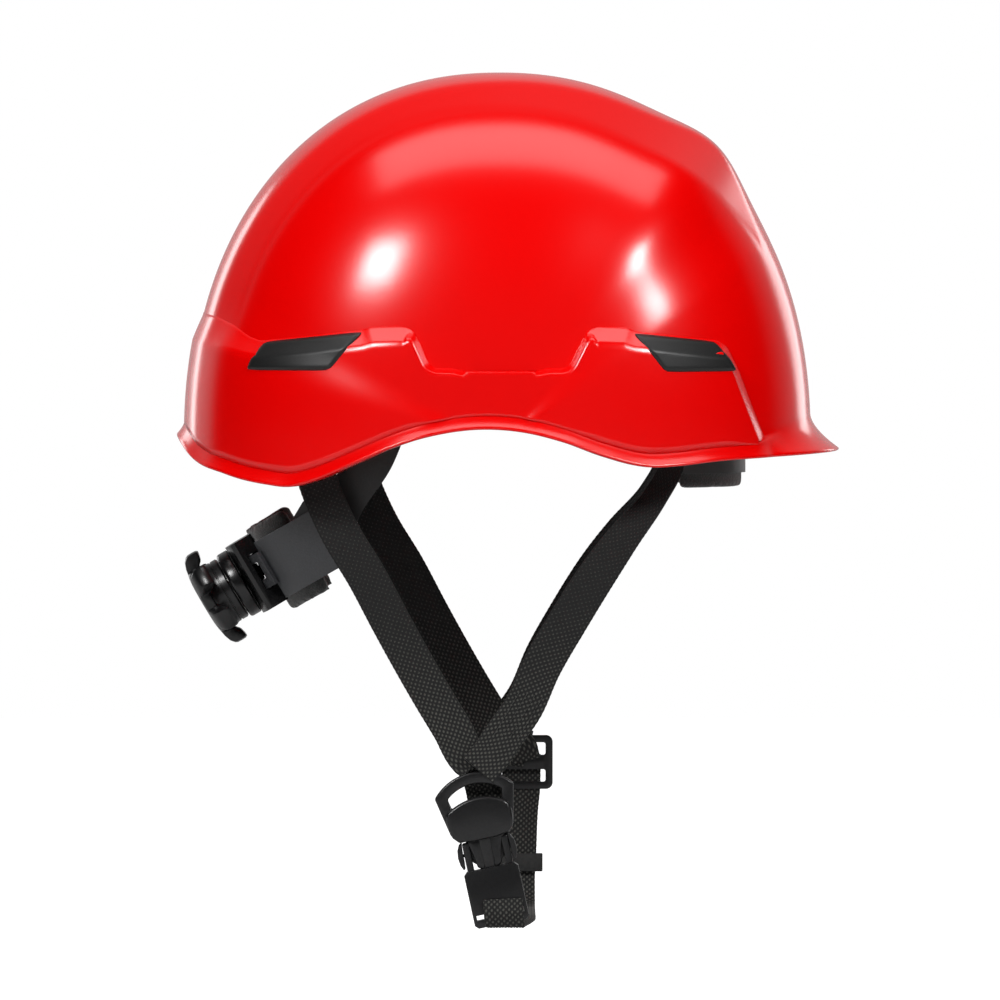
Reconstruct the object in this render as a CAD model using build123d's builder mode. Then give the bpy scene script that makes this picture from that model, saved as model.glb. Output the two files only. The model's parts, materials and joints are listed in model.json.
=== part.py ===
from build123d import *
from math import cos, degrees, radians, sin, sqrt
import os

# Climbing helmet, millimetres. +X is the front, +Y the wearer's left, +Z up.
# The origin is the centre of the head seat, on the middle plane at headband height.

# Shell: a moulded dome with a flared rim, side belts, lamp clips and accessory slots.
SHELL_HALF_LENGTH = 137.5
SHELL_HALF_WIDTH = 106.0
SHELL_HEIGHT = 162.0
SHELL_WALL = 2.5
DOME_POWER = 2.18
DOME_SIDE_POWER = 2.5
SKIRT_DEPTH = 40.0
RIM_HALF_LENGTH = 145.5
RIM_HALF_WIDTH = 111.0
RIM_SHIFT = 3.2
RIM_THICKNESS = 3.0
BELT_RISE = 5.0
POCKET_LENGTH = 31.0
POCKET_GAP = 2.6
POCKET_DEPTH = 22.0
POCKET_SKIN = 1.6
LEDGE_HEIGHT = 31.0

# Lamp clips: curved plates let into the belt, hinged along their lower edge.
CLIP_CLEARANCE = 0.4
CLIP_FLOOR = 2.6
CLIP_PROUD = 0.8
CLIP_END_ROOM = 1.3
CLIP_TOP_ROOM = 1.5
CLIP_LOW = 31.0
CLIP_HIGH = 46.0

# Cradle: three crown straps on six keys, with a headband and a brow pad.
BAND_HALF_LENGTH = 100.0
BAND_HALF_WIDTH = 72.0
BAND_SHIFT = 8.0
BAND_WALL = 1.6
BAND_HEIGHT = 20.0
BAND_END = -52.0
PAD_THICKNESS = 5.5
CROWN_TOP = 116.0
CROWN_STRAP_WIDTH = 18.0
CROWN_STRAP_THICKNESS = 1.2
CROWN_PAD_HALF_LENGTH = 30.0
CROWN_PAD_HALF_WIDTH = 26.0
CROWN_PAD_THICKNESS = 3.0
CROWN_PAD_DROP = 9.0
KEY_WIDTH = 24.0
KEY_DEPTH = 8.0
KEY_HEIGHT = 18.0
KEY_BASE = 14.0
KEY_ANGLES = (0, 62, 118, 180, 242, 298)
WALL_GAP = 0.4

# Nape unit: it lies in a plane that falls 30 degrees to the rear, on an arc round the neck.
NAPE_X = -43.3
NAPE_Z = -20.9
NAPE_FALL = 30.5
NAPE_RADIUS = 72.0
ARM_THICKNESS = 1.8
ARM_LOW = -15.5
ARM_HIGH = 12.5
ARM_START_ANGLE = 23.5
ARM_END_ANGLE = 66.0
TONGUE_WIDTH = 16.0
TONGUE_LENGTH_ANGLE = 26.0
RACK_SLOT_END_ANGLE = 18.0
RACK_SLOT_WIDTH = 8.6
RACK_TOOTH = 1.0
RACK_PITCH = 3.0
LAYER_GAP = 0.4
NAPE_PAD_GAP = 3.0
NAPE_PAD_THICKNESS = 5.0
NAPE_PAD_ANGLE = 44.0
NAPE_PAD_MARGIN = 6.5
HOUSING_WIDTH = 33.0
HOUSING_HALF_ANGLE = 17.0
HOUSING_DEPTH = 9.0
HANGER_THICKNESS = 1.6
HANGER_ROOM = 4.3
HANGER_START_ANGLE = 46.0
HANGER_END_ANGLE = 112.0
HANGER_HIGH = 44.0
PINION_RADIUS = 3.0
SHAFT_RADIUS = 2.5
BORE_CLEARANCE = 0.05
COLLAR_RADIUS = 15.5
COLLAR_LENGTH = 5.5
HUB_RADIUS = 14.5
HUB_LENGTH = 6.5
KNOB_RADIUS = 22.5
KNOB_LENGTH = 8.5
KNOB_LOBES = 6
KNOB_GAP = 0.4
CAP_RADIUS = 4.1
PIN_RADIUS = 2.5
PIN_X = -46.0
PIN_Z = 12.0
PIN_LENGTH = 8.0

# Chin harness: webbing, a side-release buckle on the right and a slider on the left.
WEBBING_WIDTH = 20.0
WEBBING_THICKNESS = 1.6
STRAP_GAP = 1.477
STRAP_SPREAD = 3.3
STRAP_REAR_X = -92.0
STRAP_LOW_Z = -134.0
LEFT_SHIFT = 16.0
BUCKLE_X = -5.2
BUCKLE_Z = -179.4
BUCKLE_TILT = 12.2
FRAME_WIDTH = 35.0
FRAME_BAR = 3.6
PLATE_WIDTH = 28.0
PLATE_THICKNESS = 5.0
SOCKET_WIDTH = 24.0
SOCKET_HEIGHT = 25.0
SOCKET_THICKNESS = 9.0
SOCKET_WALL = 1.4
PRONG_WIDTH = 3.0
PRONG_THICKNESS = 4.0
SLIDER_WIDTH = 28.0
SLIDER_HEIGHT = 24.0
SLIDER_X = 9.5
SLIDER_Z = -145.0
CHIN_LOW_Z = -208.8
CHIN_RADIUS = 12.0

os.makedirs("parts", exist_ok=True)


def save(part, name):
    part.label = name
    export_step(part, f"parts/{name}.step")


# ---------------------------------------------------------------- shell
DOME_LEVELS = (0.0, 0.22, 0.42, 0.6, 0.75, 0.87, 0.95, 0.985, 0.997)


def dome_reach(level, power):
    return (1 - level**power) ** (1 / power)


def dome(offset):
    """The dome as a solid, its surface moved outwards by offset."""
    long = SHELL_HALF_LENGTH + offset
    wide = SHELL_HALF_WIDTH + offset
    high = SHELL_HEIGHT + offset
    with BuildPart() as body:
        for level in DOME_LEVELS:
            with BuildSketch(Plane.XY.offset(level * high)):
                Ellipse(long * dome_reach(level, DOME_POWER), wide * dome_reach(level, DOME_SIDE_POWER))
        loft()
        with BuildSketch(Plane.XY):
            Ellipse(long, wide)
        extrude(amount=-SKIRT_DEPTH)
    return body.part


# The rim line in side view, from behind the rear tip to ahead of the peak.
RIM_LINE = [(-152, 16), (-136, -2), (-113, -16), (-88, -20.7), (-61, -10.8), (-35, 0.4), (-8.8, 4.4),
            (20, 1), (44, -7.5), (62, -11.9), (90, -9.8), (123, -6.6), (156, -2)]
BELT_LINE = [(-150, 56), (-132, 54), (-106, 47), (-61, 49), (-38, 48), (-31, LEDGE_HEIGHT),
             (31, LEDGE_HEIGHT), (37, 46), (56, 48), (98, 44), (106, 31), (122, -20), (-150, -20)]

with BuildPart() as under_rim:
    with BuildSketch(Plane.XZ):
        with BuildLine():
            Spline(*RIM_LINE)
            Polyline(RIM_LINE[-1], (156, -90), (-152, -90), RIM_LINE[0])
        make_face()
    extrude(amount=160, both=True)

with BuildPart() as rim:
    with BuildSketch(Plane.XZ):
        with BuildLine():
            lower = Spline(*RIM_LINE)
            upper = Spline(*[(x, z + RIM_THICKNESS) for x, z in RIM_LINE])
            Line(lower @ 0, upper @ 0)
            Line(lower @ 1, upper @ 1)
        make_face()
    extrude(amount=160, both=True)
    with BuildSketch(Plane.XY.offset(-SKIRT_DEPTH)):
        with Locations((RIM_SHIFT, 0)):
            Ellipse(RIM_HALF_LENGTH, RIM_HALF_WIDTH)
    extrude(amount=2 * SKIRT_DEPTH, mode=Mode.INTERSECT)
    add(dome(-SHELL_WALL), mode=Mode.SUBTRACT)

with BuildPart() as belt:
    with BuildSketch(Plane.XZ):
        with BuildLine():
            Polyline(*BELT_LINE, close=True)
        make_face()
    extrude(amount=160, both=True)
    add(dome(BELT_RISE), mode=Mode.INTERSECT)
    add(dome(-SHELL_WALL / 2), mode=Mode.SUBTRACT)

# Each clip's outline runs round from its lower rear corner. Its outer end is the end away from the slot.
CLIP_OUTLINES = {
    "rear": [(-111, CLIP_LOW), (-75, CLIP_LOW), (-62, CLIP_HIGH), (-106, CLIP_HIGH - 3)],
    "front": [(74, CLIP_LOW), (104, CLIP_LOW), (97, CLIP_HIGH - 3), (61, CLIP_HIGH)],
}


def dome_block(outline, side, inset, floor, top):
    """What lies inside a side outline, on one side of the dome, between two offsets of its surface."""
    with BuildPart() as block:
        with BuildSketch(Plane.XZ):
            with BuildLine():
                Polyline(*outline, close=True)
            make_face()
            if inset:
                offset(amount=-inset, kind=Kind.INTERSECTION)
        extrude(amount=-160 * side)
        add(dome(top), mode=Mode.INTERSECT)
        add(dome(floor), mode=Mode.SUBTRACT)
    return block.part


def clip_recess(place):
    """A clip's outline, opened past the belt's top edge and at its outer end, where the clip swings."""
    rear_room = Vector(-CLIP_END_ROOM if place == "rear" else 0, 0)
    front_room = Vector(CLIP_END_ROOM if place == "front" else 0, 0)
    low_rear, low_front, high_front, high_rear = (Vector(*point) for point in CLIP_OUTLINES[place])
    return [low_rear + rear_room, low_front + front_room,
            low_front + (high_front - low_front) * CLIP_TOP_ROOM + front_room,
            low_rear + (high_rear - low_rear) * CLIP_TOP_ROOM + rear_room]


with BuildPart() as outer_shell:
    add(dome(0))
    add(belt.part)
    add(dome(-SHELL_WALL), mode=Mode.SUBTRACT)
    add(under_rim.part, mode=Mode.SUBTRACT)
    add(rim.part)
    for side in (-1, 1):
        for place in CLIP_OUTLINES:
            add(dome_block(clip_recess(place), side, 0, CLIP_FLOOR, BELT_RISE + 4), mode=Mode.SUBTRACT)
        pocket_y = side * (SHELL_HALF_WIDTH + BELT_RISE - POCKET_SKIN - POCKET_GAP / 2 - 1)
        with Locations((0, pocket_y, LEDGE_HEIGHT - POCKET_DEPTH / 2 + 1)):
            Box(POCKET_LENGTH, POCKET_GAP, POCKET_DEPTH + 2, mode=Mode.SUBTRACT)
save(outer_shell.part, "outer_shell")

for side, side_name in ((-1, "right"), (1, "left")):
    for place, outline in CLIP_OUTLINES.items():
        with BuildPart() as lamp_clip:
            add(dome_block(outline, side, CLIP_CLEARANCE, CLIP_FLOOR + CLIP_CLEARANCE,
                           BELT_RISE + CLIP_PROUD))
        save(lamp_clip.part, f"lamp_clip_{place}_{side_name}")

# ---------------------------------------------------------------- cradle


def wall_reach(angle, aside, inset):
    """Distance from the middle axis to a plan ellipse set in from the shell's surface."""
    long = SHELL_HALF_LENGTH - inset
    wide = SHELL_HALF_WIDTH - inset
    forward = (cos(radians(angle)), sin(radians(angle)))
    start = (-aside * forward[1], aside * forward[0])
    steep = (forward[0] / long) ** 2 + (forward[1] / wide) ** 2
    mixed = start[0] * forward[0] / long**2 + start[1] * forward[1] / wide**2
    short = 1 - (start[0] / long) ** 2 - (start[1] / wide) ** 2
    return (-mixed + sqrt(mixed**2 + steep * short)) / steep


KEY_INSET = SHELL_WALL + WALL_GAP + KEY_DEPTH
KEY_ROOM = 5.0
KEY_GAP = 0.3

for index, angle in enumerate(KEY_ANGLES, start=1):
    with BuildPart() as key:
        with BuildSketch(Plane.XY.offset(KEY_BASE)):
            Ellipse(SHELL_HALF_LENGTH - SHELL_WALL - KEY_ROOM, SHELL_HALF_WIDTH - SHELL_WALL - KEY_ROOM)
            Ellipse(SHELL_HALF_LENGTH - KEY_INSET - KEY_ROOM, SHELL_HALF_WIDTH - KEY_INSET - KEY_ROOM,
                    mode=Mode.SUBTRACT)
            with Locations(Location((0, 0, 0), (0, 0, angle))):
                Rectangle(200, KEY_WIDTH, align=(Align.MIN, Align.CENTER), mode=Mode.INTERSECT)
        extrude(amount=KEY_HEIGHT)
        chamfer(key.edges().filter_by(Axis.Z), length=1)
    save(key.part, f"suspension_key_{index}")

STRAP_FOOT = KEY_BASE + KEY_HEIGHT - 6
LAYER = CROWN_STRAP_THICKNESS + 1.0
STRAP_EDGES = (-CROWN_STRAP_WIDTH / 2, CROWN_STRAP_WIDTH / 2)

for index, angle in enumerate((0, 62, 118)):
    with BuildPart() as crown_strap:
        foot = min(wall_reach(angle, aside, KEY_INSET + KEY_ROOM) for aside in STRAP_EDGES) - KEY_GAP
        top = CROWN_TOP - index * LAYER
        with BuildSketch(Plane(origin=(0, 0, 0), x_dir=(cos(radians(angle)), sin(radians(angle)), 0),
                               z_dir=(sin(radians(angle)), -cos(radians(angle)), 0))):
            with BuildLine():
                outer = ThreePointArc((-foot, STRAP_FOOT), (0, top), (foot, STRAP_FOOT))
                inner = ThreePointArc((-foot + CROWN_STRAP_THICKNESS, STRAP_FOOT),
                                      (0, top - CROWN_STRAP_THICKNESS),
                                      (foot - CROWN_STRAP_THICKNESS, STRAP_FOOT))
                Line(outer @ 0, inner @ 0)
                Line(outer @ 1, inner @ 1)
            make_face()
        extrude(amount=CROWN_STRAP_WIDTH / 2, both=True)
    save(crown_strap.part, f"crown_strap_{index + 1}")

BAND_LOWER = [(BAND_END, 8), (30, 8), (58, -9), (82, -14), (112, -14)]


def band_ring(outer_inset, inner_inset, drop, rise, rear, front=120):
    """A ring on the headband's ellipse, between two insets, kept between two side lines."""
    lower = [(x, z - drop) for x, z in BAND_LOWER if rear < x < front]
    first_z = lower[0][1]
    last_z = lower[-1][1]
    outline = [(rear, first_z), *lower, (front, last_z)]
    outline += [(x, z + drop + rise) for x, z in reversed(outline)]
    with BuildPart() as ring:
        with BuildSketch(Plane.XY.offset(-60)):
            with Locations((BAND_SHIFT, 0)):
                Ellipse(BAND_HALF_LENGTH - outer_inset, BAND_HALF_WIDTH - outer_inset)
                Ellipse(BAND_HALF_LENGTH - inner_inset, BAND_HALF_WIDTH - inner_inset, mode=Mode.SUBTRACT)
        extrude(amount=120)
        with BuildSketch(Plane.XZ):
            with BuildLine():
                Polyline(*outline, close=True)
            make_face()
        extrude(amount=120, both=True, mode=Mode.INTERSECT)
    return ring.part


with BuildPart() as headband:
    add(band_ring(0, BAND_WALL, 0, BAND_HEIGHT, BAND_END))
    with BuildSketch(Plane.XZ):
        with Locations((PIN_X, PIN_Z)):
            Circle(PIN_RADIUS)
    extrude(amount=BAND_HALF_WIDTH, both=True, mode=Mode.SUBTRACT)
save(headband.part, "headband")

with BuildPart() as brow_pad:
    add(band_ring(BAND_WALL + 0.2, BAND_WALL + PAD_THICKNESS, 6.5, BAND_HEIGHT - 2, 78))
save(brow_pad.part, "brow_pad")

with BuildPart() as crown_pad:
    with BuildSketch(Plane.XY.offset(CROWN_TOP - 3 * LAYER - CROWN_PAD_DROP)):
        Ellipse(CROWN_PAD_HALF_LENGTH, CROWN_PAD_HALF_WIDTH)
    extrude(amount=CROWN_PAD_THICKNESS)
    fillet(crown_pad.edges(), radius=1.2)
save(crown_pad.part, "crown_pad")

# ---------------------------------------------------------------- nape unit
FALL = (-cos(radians(NAPE_FALL)), 0, -sin(radians(NAPE_FALL)))
RISE = (-sin(radians(NAPE_FALL)), 0, cos(radians(NAPE_FALL)))
NAPE = Plane(origin=(NAPE_X, 0, NAPE_Z), x_dir=FALL, z_dir=RISE)
RIGHT_LAYER = NAPE_RADIUS
LEFT_LAYER = NAPE_RADIUS + ARM_THICKNESS + LAYER_GAP
HOUSING_INNER = NAPE_RADIUS - 2.2
HOUSING_OUTER = HOUSING_INNER + HOUSING_DEPTH + 1.6
COLLAR_TOP = HOUSING_OUTER + COLLAR_LENGTH
KNOB_BASE = COLLAR_TOP + KNOB_GAP


def arc_band(inner, outer, start, end, low, high):
    """A curved strip on the nape arc; its width runs from low to high along the arc's axis."""
    with BuildPart() as band:
        with BuildSketch(NAPE.offset(low)):
            with BuildLine():
                outside = CenterArc((0, 0), outer, start, end - start)
                inside = CenterArc((0, 0), inner, start, end - start)
                Line(outside @ 0, inside @ 0)
                Line(outside @ 1, inside @ 1)
            make_face()
        extrude(amount=high - low)
    return band.part


def on_arc(radius, angle):
    """A plane on the nape arc that looks outwards, with its x along the arc and y up the strip."""
    outward = NAPE.x_dir * cos(radians(angle)) + NAPE.y_dir * sin(radians(angle))
    return Plane(origin=NAPE.origin + outward * radius, x_dir=NAPE.z_dir.cross(outward), z_dir=outward)


def nape_arm(side, layer, tooth_side):
    """One rack arm: side is 1 on the wearer's right, whose angles are positive in the nape plane."""
    plate = sorted((side * ARM_START_ANGLE, side * ARM_END_ANGLE))
    tongue = sorted((-side * TONGUE_LENGTH_ANGLE, side * (ARM_START_ANGLE + 1)))
    slot = sorted((-side * (TONGUE_LENGTH_ANGLE - 4), side * RACK_SLOT_END_ANGLE))
    step = degrees(RACK_PITCH / layer)
    with BuildPart() as arm:
        add(arc_band(layer, layer + ARM_THICKNESS, *plate, ARM_LOW, ARM_HIGH))
        add(arc_band(layer, layer + ARM_THICKNESS, *tongue, -TONGUE_WIDTH / 2, TONGUE_WIDTH / 2))
        add(arc_band(layer - 1, layer + ARM_THICKNESS + 1, *slot, -RACK_SLOT_WIDTH / 2,
                     RACK_SLOT_WIDTH / 2), mode=Mode.SUBTRACT)
        for tooth in range(int((slot[1] - slot[0]) / step)):
            with BuildSketch(on_arc(layer - 1, slot[0] + step * (tooth + 0.5))):
                with Locations((0, tooth_side * (RACK_SLOT_WIDTH / 2 + RACK_TOOTH / 2))):
                    Rectangle(RACK_PITCH / 2, RACK_TOOTH + 0.2)
            extrude(amount=ARM_THICKNESS + 2, mode=Mode.SUBTRACT)
    return arm.part


save(nape_arm(1, RIGHT_LAYER, 1), "nape_arm_right")
save(nape_arm(-1, LEFT_LAYER, -1), "nape_arm_left")

HANGER_OUTER = NAPE_RADIUS - HANGER_ROOM
HANGER_INNER = HANGER_OUTER - HANGER_THICKNESS
PIN_START = BAND_HALF_WIDTH - 14.0

for side, side_name in ((1, "right"), (-1, "left")):
    with BuildPart() as hanger:
        span = sorted((side * HANGER_START_ANGLE, side * HANGER_END_ANGLE))
        add(arc_band(HANGER_INNER, HANGER_OUTER, *span, ARM_LOW, HANGER_HIGH))
        with BuildSketch(Plane.XZ):
            with BuildLine():
                front = Spline((PIN_X + 4, PIN_Z + 5), (-43, 0), (-49, -14), (-60, -30), (-66, -46), (-68, -60))
                Polyline(front @ 0, (PIN_X - 4, PIN_Z + 5), (-54, 0), (-64, -10), (-86, -26), (-104, -56),
                         front @ 1)
            make_face()
        extrude(amount=160 * side, mode=Mode.INTERSECT)
        with BuildSketch(Plane.XZ):
            with Locations((PIN_X, PIN_Z)):
                Circle(PIN_RADIUS + BORE_CLEARANCE)
        extrude(amount=160 * side, mode=Mode.SUBTRACT)
    save(hanger.part, f"nape_hanger_{side_name}")
    with BuildPart() as pin:
        with BuildSketch(Plane.XZ.offset(side * PIN_START)):
            with Locations((PIN_X, PIN_Z)):
                Circle(PIN_RADIUS)
        extrude(amount=side * (PIN_LENGTH + 2))
    save(pin.part, f"hanger_pin_{side_name}")

NAPE_PAD_OUTER = NAPE_RADIUS - NAPE_PAD_GAP

with BuildPart() as nape_pad:
    add(arc_band(NAPE_PAD_OUTER - NAPE_PAD_THICKNESS, NAPE_PAD_OUTER, -NAPE_PAD_ANGLE, NAPE_PAD_ANGLE,
                 ARM_LOW - NAPE_PAD_MARGIN, ARM_HIGH + NAPE_PAD_MARGIN))
    chamfer(nape_pad.edges().filter_by(GeomType.LINE), length=NAPE_PAD_THICKNESS * 0.4)
save(nape_pad.part, "nape_pad")

KNOB = on_arc(0, 0)
KNOB_AXIS = Axis(KNOB.origin, KNOB.z_dir)

with BuildPart() as ratchet_housing:
    add(arc_band(HOUSING_INNER, HOUSING_OUTER, -HOUSING_HALF_ANGLE, HOUSING_HALF_ANGLE,
                 -HOUSING_WIDTH / 2, HOUSING_WIDTH / 2))
    chamfer(ratchet_housing.edges().filter_by(Axis(origin=(0, 0, 0), direction=RISE)), length=1.5)
    add(arc_band(RIGHT_LAYER - 0.5, LEFT_LAYER + ARM_THICKNESS + 0.5, -HOUSING_HALF_ANGLE - 2,
                 HOUSING_HALF_ANGLE + 2, -TONGUE_WIDTH / 2 - 0.6, TONGUE_WIDTH / 2 + 0.6),
        mode=Mode.SUBTRACT)
    with BuildSketch(KNOB.offset(HOUSING_INNER - 3)):
        Circle(SHAFT_RADIUS + BORE_CLEARANCE)
    extrude(amount=HOUSING_DEPTH + 10, mode=Mode.SUBTRACT)
save(ratchet_housing.part, "ratchet_housing")

with BuildPart() as ratchet_collar:
    with BuildSketch(KNOB.offset(HOUSING_OUTER + 0.1)):
        Circle(COLLAR_RADIUS)
        Circle(SHAFT_RADIUS + 1, mode=Mode.SUBTRACT)
    extrude(amount=COLLAR_LENGTH - 0.1)
    chamfer(ratchet_collar.edges().group_by(KNOB_AXIS)[-1].filter_by(GeomType.CIRCLE).sort_by(
        SortBy.RADIUS)[-1], length=0.8)
save(ratchet_collar.part, "ratchet_collar")

with BuildPart() as pinion:
    with BuildSketch(KNOB.offset(HOUSING_INNER + 0.2)):
        Circle(SHAFT_RADIUS)
    extrude(amount=KNOB_BASE + 5 - HOUSING_INNER)
    with BuildSketch(KNOB.offset(RIGHT_LAYER - 0.2)):
        Circle(PINION_RADIUS)
        with PolarLocations(PINION_RADIUS + 0.3, 8):
            Rectangle(1.2, 1.0)
    extrude(amount=LEFT_LAYER + ARM_THICKNESS - RIGHT_LAYER + 0.4)
save(pinion.part, "pinion")

DETENT_RADIUS = COLLAR_RADIUS - 4
DETENT_WIDTH = 2.0
DETENT_HEIGHT = 1.6
DETENT_ROOM = 0.4

with BuildPart() as ratchet_knob:
    with BuildSketch(KNOB.offset(KNOB_BASE)):
        Circle(HUB_RADIUS)
    extrude(amount=HUB_LENGTH + KNOB_LENGTH)
    with BuildSketch(KNOB.offset(KNOB_BASE + HUB_LENGTH)):
        Circle(HUB_RADIUS + 2)
        with PolarLocations((HUB_RADIUS + KNOB_RADIUS) / 2, KNOB_LOBES):
            Rectangle(KNOB_RADIUS - HUB_RADIUS + 1, 11)
    extrude(amount=KNOB_LENGTH - 1.5)
    fillet(ratchet_knob.edges().group_by(KNOB_AXIS)[-1], radius=1.4)
    with BuildSketch(KNOB.offset(KNOB_BASE)):
        Circle(SHAFT_RADIUS + BORE_CLEARANCE)
    extrude(amount=6, mode=Mode.SUBTRACT)
    with BuildSketch(KNOB.offset(KNOB_BASE)):
        Circle(DETENT_RADIUS + DETENT_ROOM)
        Circle(DETENT_RADIUS - DETENT_WIDTH - DETENT_ROOM, mode=Mode.SUBTRACT)
    extrude(amount=DETENT_HEIGHT, mode=Mode.SUBTRACT)
    with BuildSketch(KNOB.offset(KNOB_BASE + HUB_LENGTH + KNOB_LENGTH - 2.5)):
        Circle(CAP_RADIUS + BORE_CLEARANCE)
    extrude(amount=3, mode=Mode.SUBTRACT)
save(ratchet_knob.part, "ratchet_knob")

with BuildPart() as knob_cap:
    with BuildSketch(KNOB.offset(KNOB_BASE + HUB_LENGTH + KNOB_LENGTH - 2.5)):
        Circle(CAP_RADIUS)
    extrude(amount=2.5)
    fillet(knob_cap.edges().group_by(KNOB_AXIS)[-1], radius=0.8)
save(knob_cap.part, "knob_cap")

with BuildPart() as detent_spring:
    with BuildSketch(KNOB.offset(COLLAR_TOP)):
        Circle(DETENT_RADIUS)
        Circle(DETENT_RADIUS - DETENT_WIDTH, mode=Mode.SUBTRACT)
    extrude(amount=DETENT_HEIGHT)
save(detent_spring.part, "detent_spring")

# ---------------------------------------------------------------- chin harness
SHELL_REAR_WIDTH = SHELL_HALF_WIDTH * dome_reach(-STRAP_REAR_X / SHELL_HALF_LENGTH, 2)
STRAP_TOP_Y = SHELL_REAR_WIDTH - SHELL_WALL - WEBBING_THICKNESS - STRAP_GAP
STRAP_LOW_Y = STRAP_TOP_Y + STRAP_SPREAD


def strap_plane(side, lift):
    """The plane of the yoke webbing on one side, leaning outwards as it falls, moved out by lift."""
    lean = (STRAP_LOW_Y - STRAP_TOP_Y) / -STRAP_LOW_Z
    outward = Vector(0, side, lean).normalized()
    return Plane(origin=Vector(0, side * STRAP_TOP_Y, 0) + outward * lift, x_dir=(1, 0, 0), z_dir=outward)


def yoke_forward(side, place, z):
    """How far forward the left webbing lies of the right: all of it at the rear, growing at the front."""
    if side < 0:
        return 0
    return LEFT_SHIFT if place == "rear" else LEFT_SHIFT * min(1, z / STRAP_LOW_Z)


REAR_STRAP = [(STRAP_REAR_X, -8), (-73, -8), (-62, -38), (-36.5, -79), (-5.7, -129), (-3, -136.8), (-20, -142.8),
              (-50, -94), (-77, -46)]
FRONT_STRAP = [(64, -8), (81, -8), (80, -18), (52.8, -57), (31.7, -88), (13.6, -126), (4, -137.8),
               (-14, -141.8), (-0.9, -117), (22, -79), (44, -42), (61, -18)]
ANCHOR_OUTLINES = {"rear": (-82.5, 18), "front": (72.5, 19)}
ANCHOR_HEIGHT = 12.0
ANCHOR_THICKNESS = 2.2

for side, side_name in ((-1, "right"), (1, "left")):
    for place, points, lift in (("rear", REAR_STRAP, 0), ("front", FRONT_STRAP, WEBBING_THICKNESS + 0.2)):
        with BuildPart() as strap:
            with BuildSketch(strap_plane(side, lift)):
                with BuildLine():
                    Polyline(*[(x + yoke_forward(side, place, z), -side * z) for x, z in points], close=True)
                make_face()
            extrude(amount=WEBBING_THICKNESS)
        save(strap.part, f"{place}_strap_{side_name}")
        anchor_x, anchor_width = ANCHOR_OUTLINES[place]
        with BuildPart() as anchor:
            with BuildSketch(strap_plane(side, lift - 0.3)):
                with Locations((anchor_x + yoke_forward(side, place, 0), -side * (ANCHOR_HEIGHT / 2 - 7.8))):
                    RectangleRounded(anchor_width, ANCHOR_HEIGHT, 2)
            extrude(amount=ANCHOR_THICKNESS)
        save(anchor.part, f"strap_anchor_{place}_{side_name}")

# Side-release buckle: its plane stands upright beside the right cheek, tilted in that plane.
ACROSS = (cos(radians(BUCKLE_TILT)), 0, sin(radians(BUCKLE_TILT)))
BUCKLE = Plane(origin=(BUCKLE_X, -STRAP_LOW_Y - 1.8, BUCKLE_Z), x_dir=ACROSS, z_dir=(0, -1, 0))
PLATE_LOW = 8.0
PLATE_HIGH = 23.0
FRAME_TOP = 37.0
WINDOW_LOW = 26.0
PRONG_X = SOCKET_WIDTH / 2 - SOCKET_WALL - 0.5 - PRONG_WIDTH / 2
PRONG_TOP = PLATE_LOW - 0.4
PRONG_LENGTH = 21.0
SOCKET_TOP = -5.0
SOCKET_LOW = SOCKET_TOP - SOCKET_HEIGHT
CAVITY_DEPTH = 18.0
GUIDE_WIDTH = 5.0
BAR_RADIUS = FRAME_BAR / 2

with BuildPart() as buckle_frame:
    with BuildSketch(BUCKLE.offset(-PLATE_THICKNESS / 2)):
        with BuildLine():
            crown = ThreePointArc((-FRAME_WIDTH / 2, 29), (0, FRAME_TOP), (FRAME_WIDTH / 2, 29))
            Polyline(crown @ 1, (PLATE_WIDTH / 2, 12), (PLATE_WIDTH / 2 - 3, PLATE_LOW),
                     (-PLATE_WIDTH / 2 + 3, PLATE_LOW), (-PLATE_WIDTH / 2, 12), crown @ 0)
        make_face()
        with BuildLine(mode=Mode.PRIVATE) as window:
            arch = ThreePointArc((-12, 27.5), (0, 32), (12, 27.5))
            Polyline(arch @ 1, (11, WINDOW_LOW - 3), (-11, WINDOW_LOW - 3), arch @ 0)
        make_face(window.edges(), mode=Mode.SUBTRACT)
        Rectangle(GUIDE_WIDTH, 2 * PLATE_LOW + 2, align=(Align.CENTER, Align.CENTER))
    extrude(amount=PLATE_THICKNESS)
save(buckle_frame.part, "buckle_frame")

for side, side_name in ((-1, "rear"), (1, "front")):
    with BuildPart() as prong:
        with BuildSketch(BUCKLE.offset(-PRONG_THICKNESS / 2)):
            with Locations((side * PRONG_X, PRONG_TOP)):
                Rectangle(PRONG_WIDTH, PRONG_LENGTH, align=(Align.CENTER, Align.MAX))
        extrude(amount=PRONG_THICKNESS)
        fillet(prong.edges().filter_by(Axis.Y), radius=1)
    save(prong.part, f"buckle_prong_{side_name}")

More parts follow.
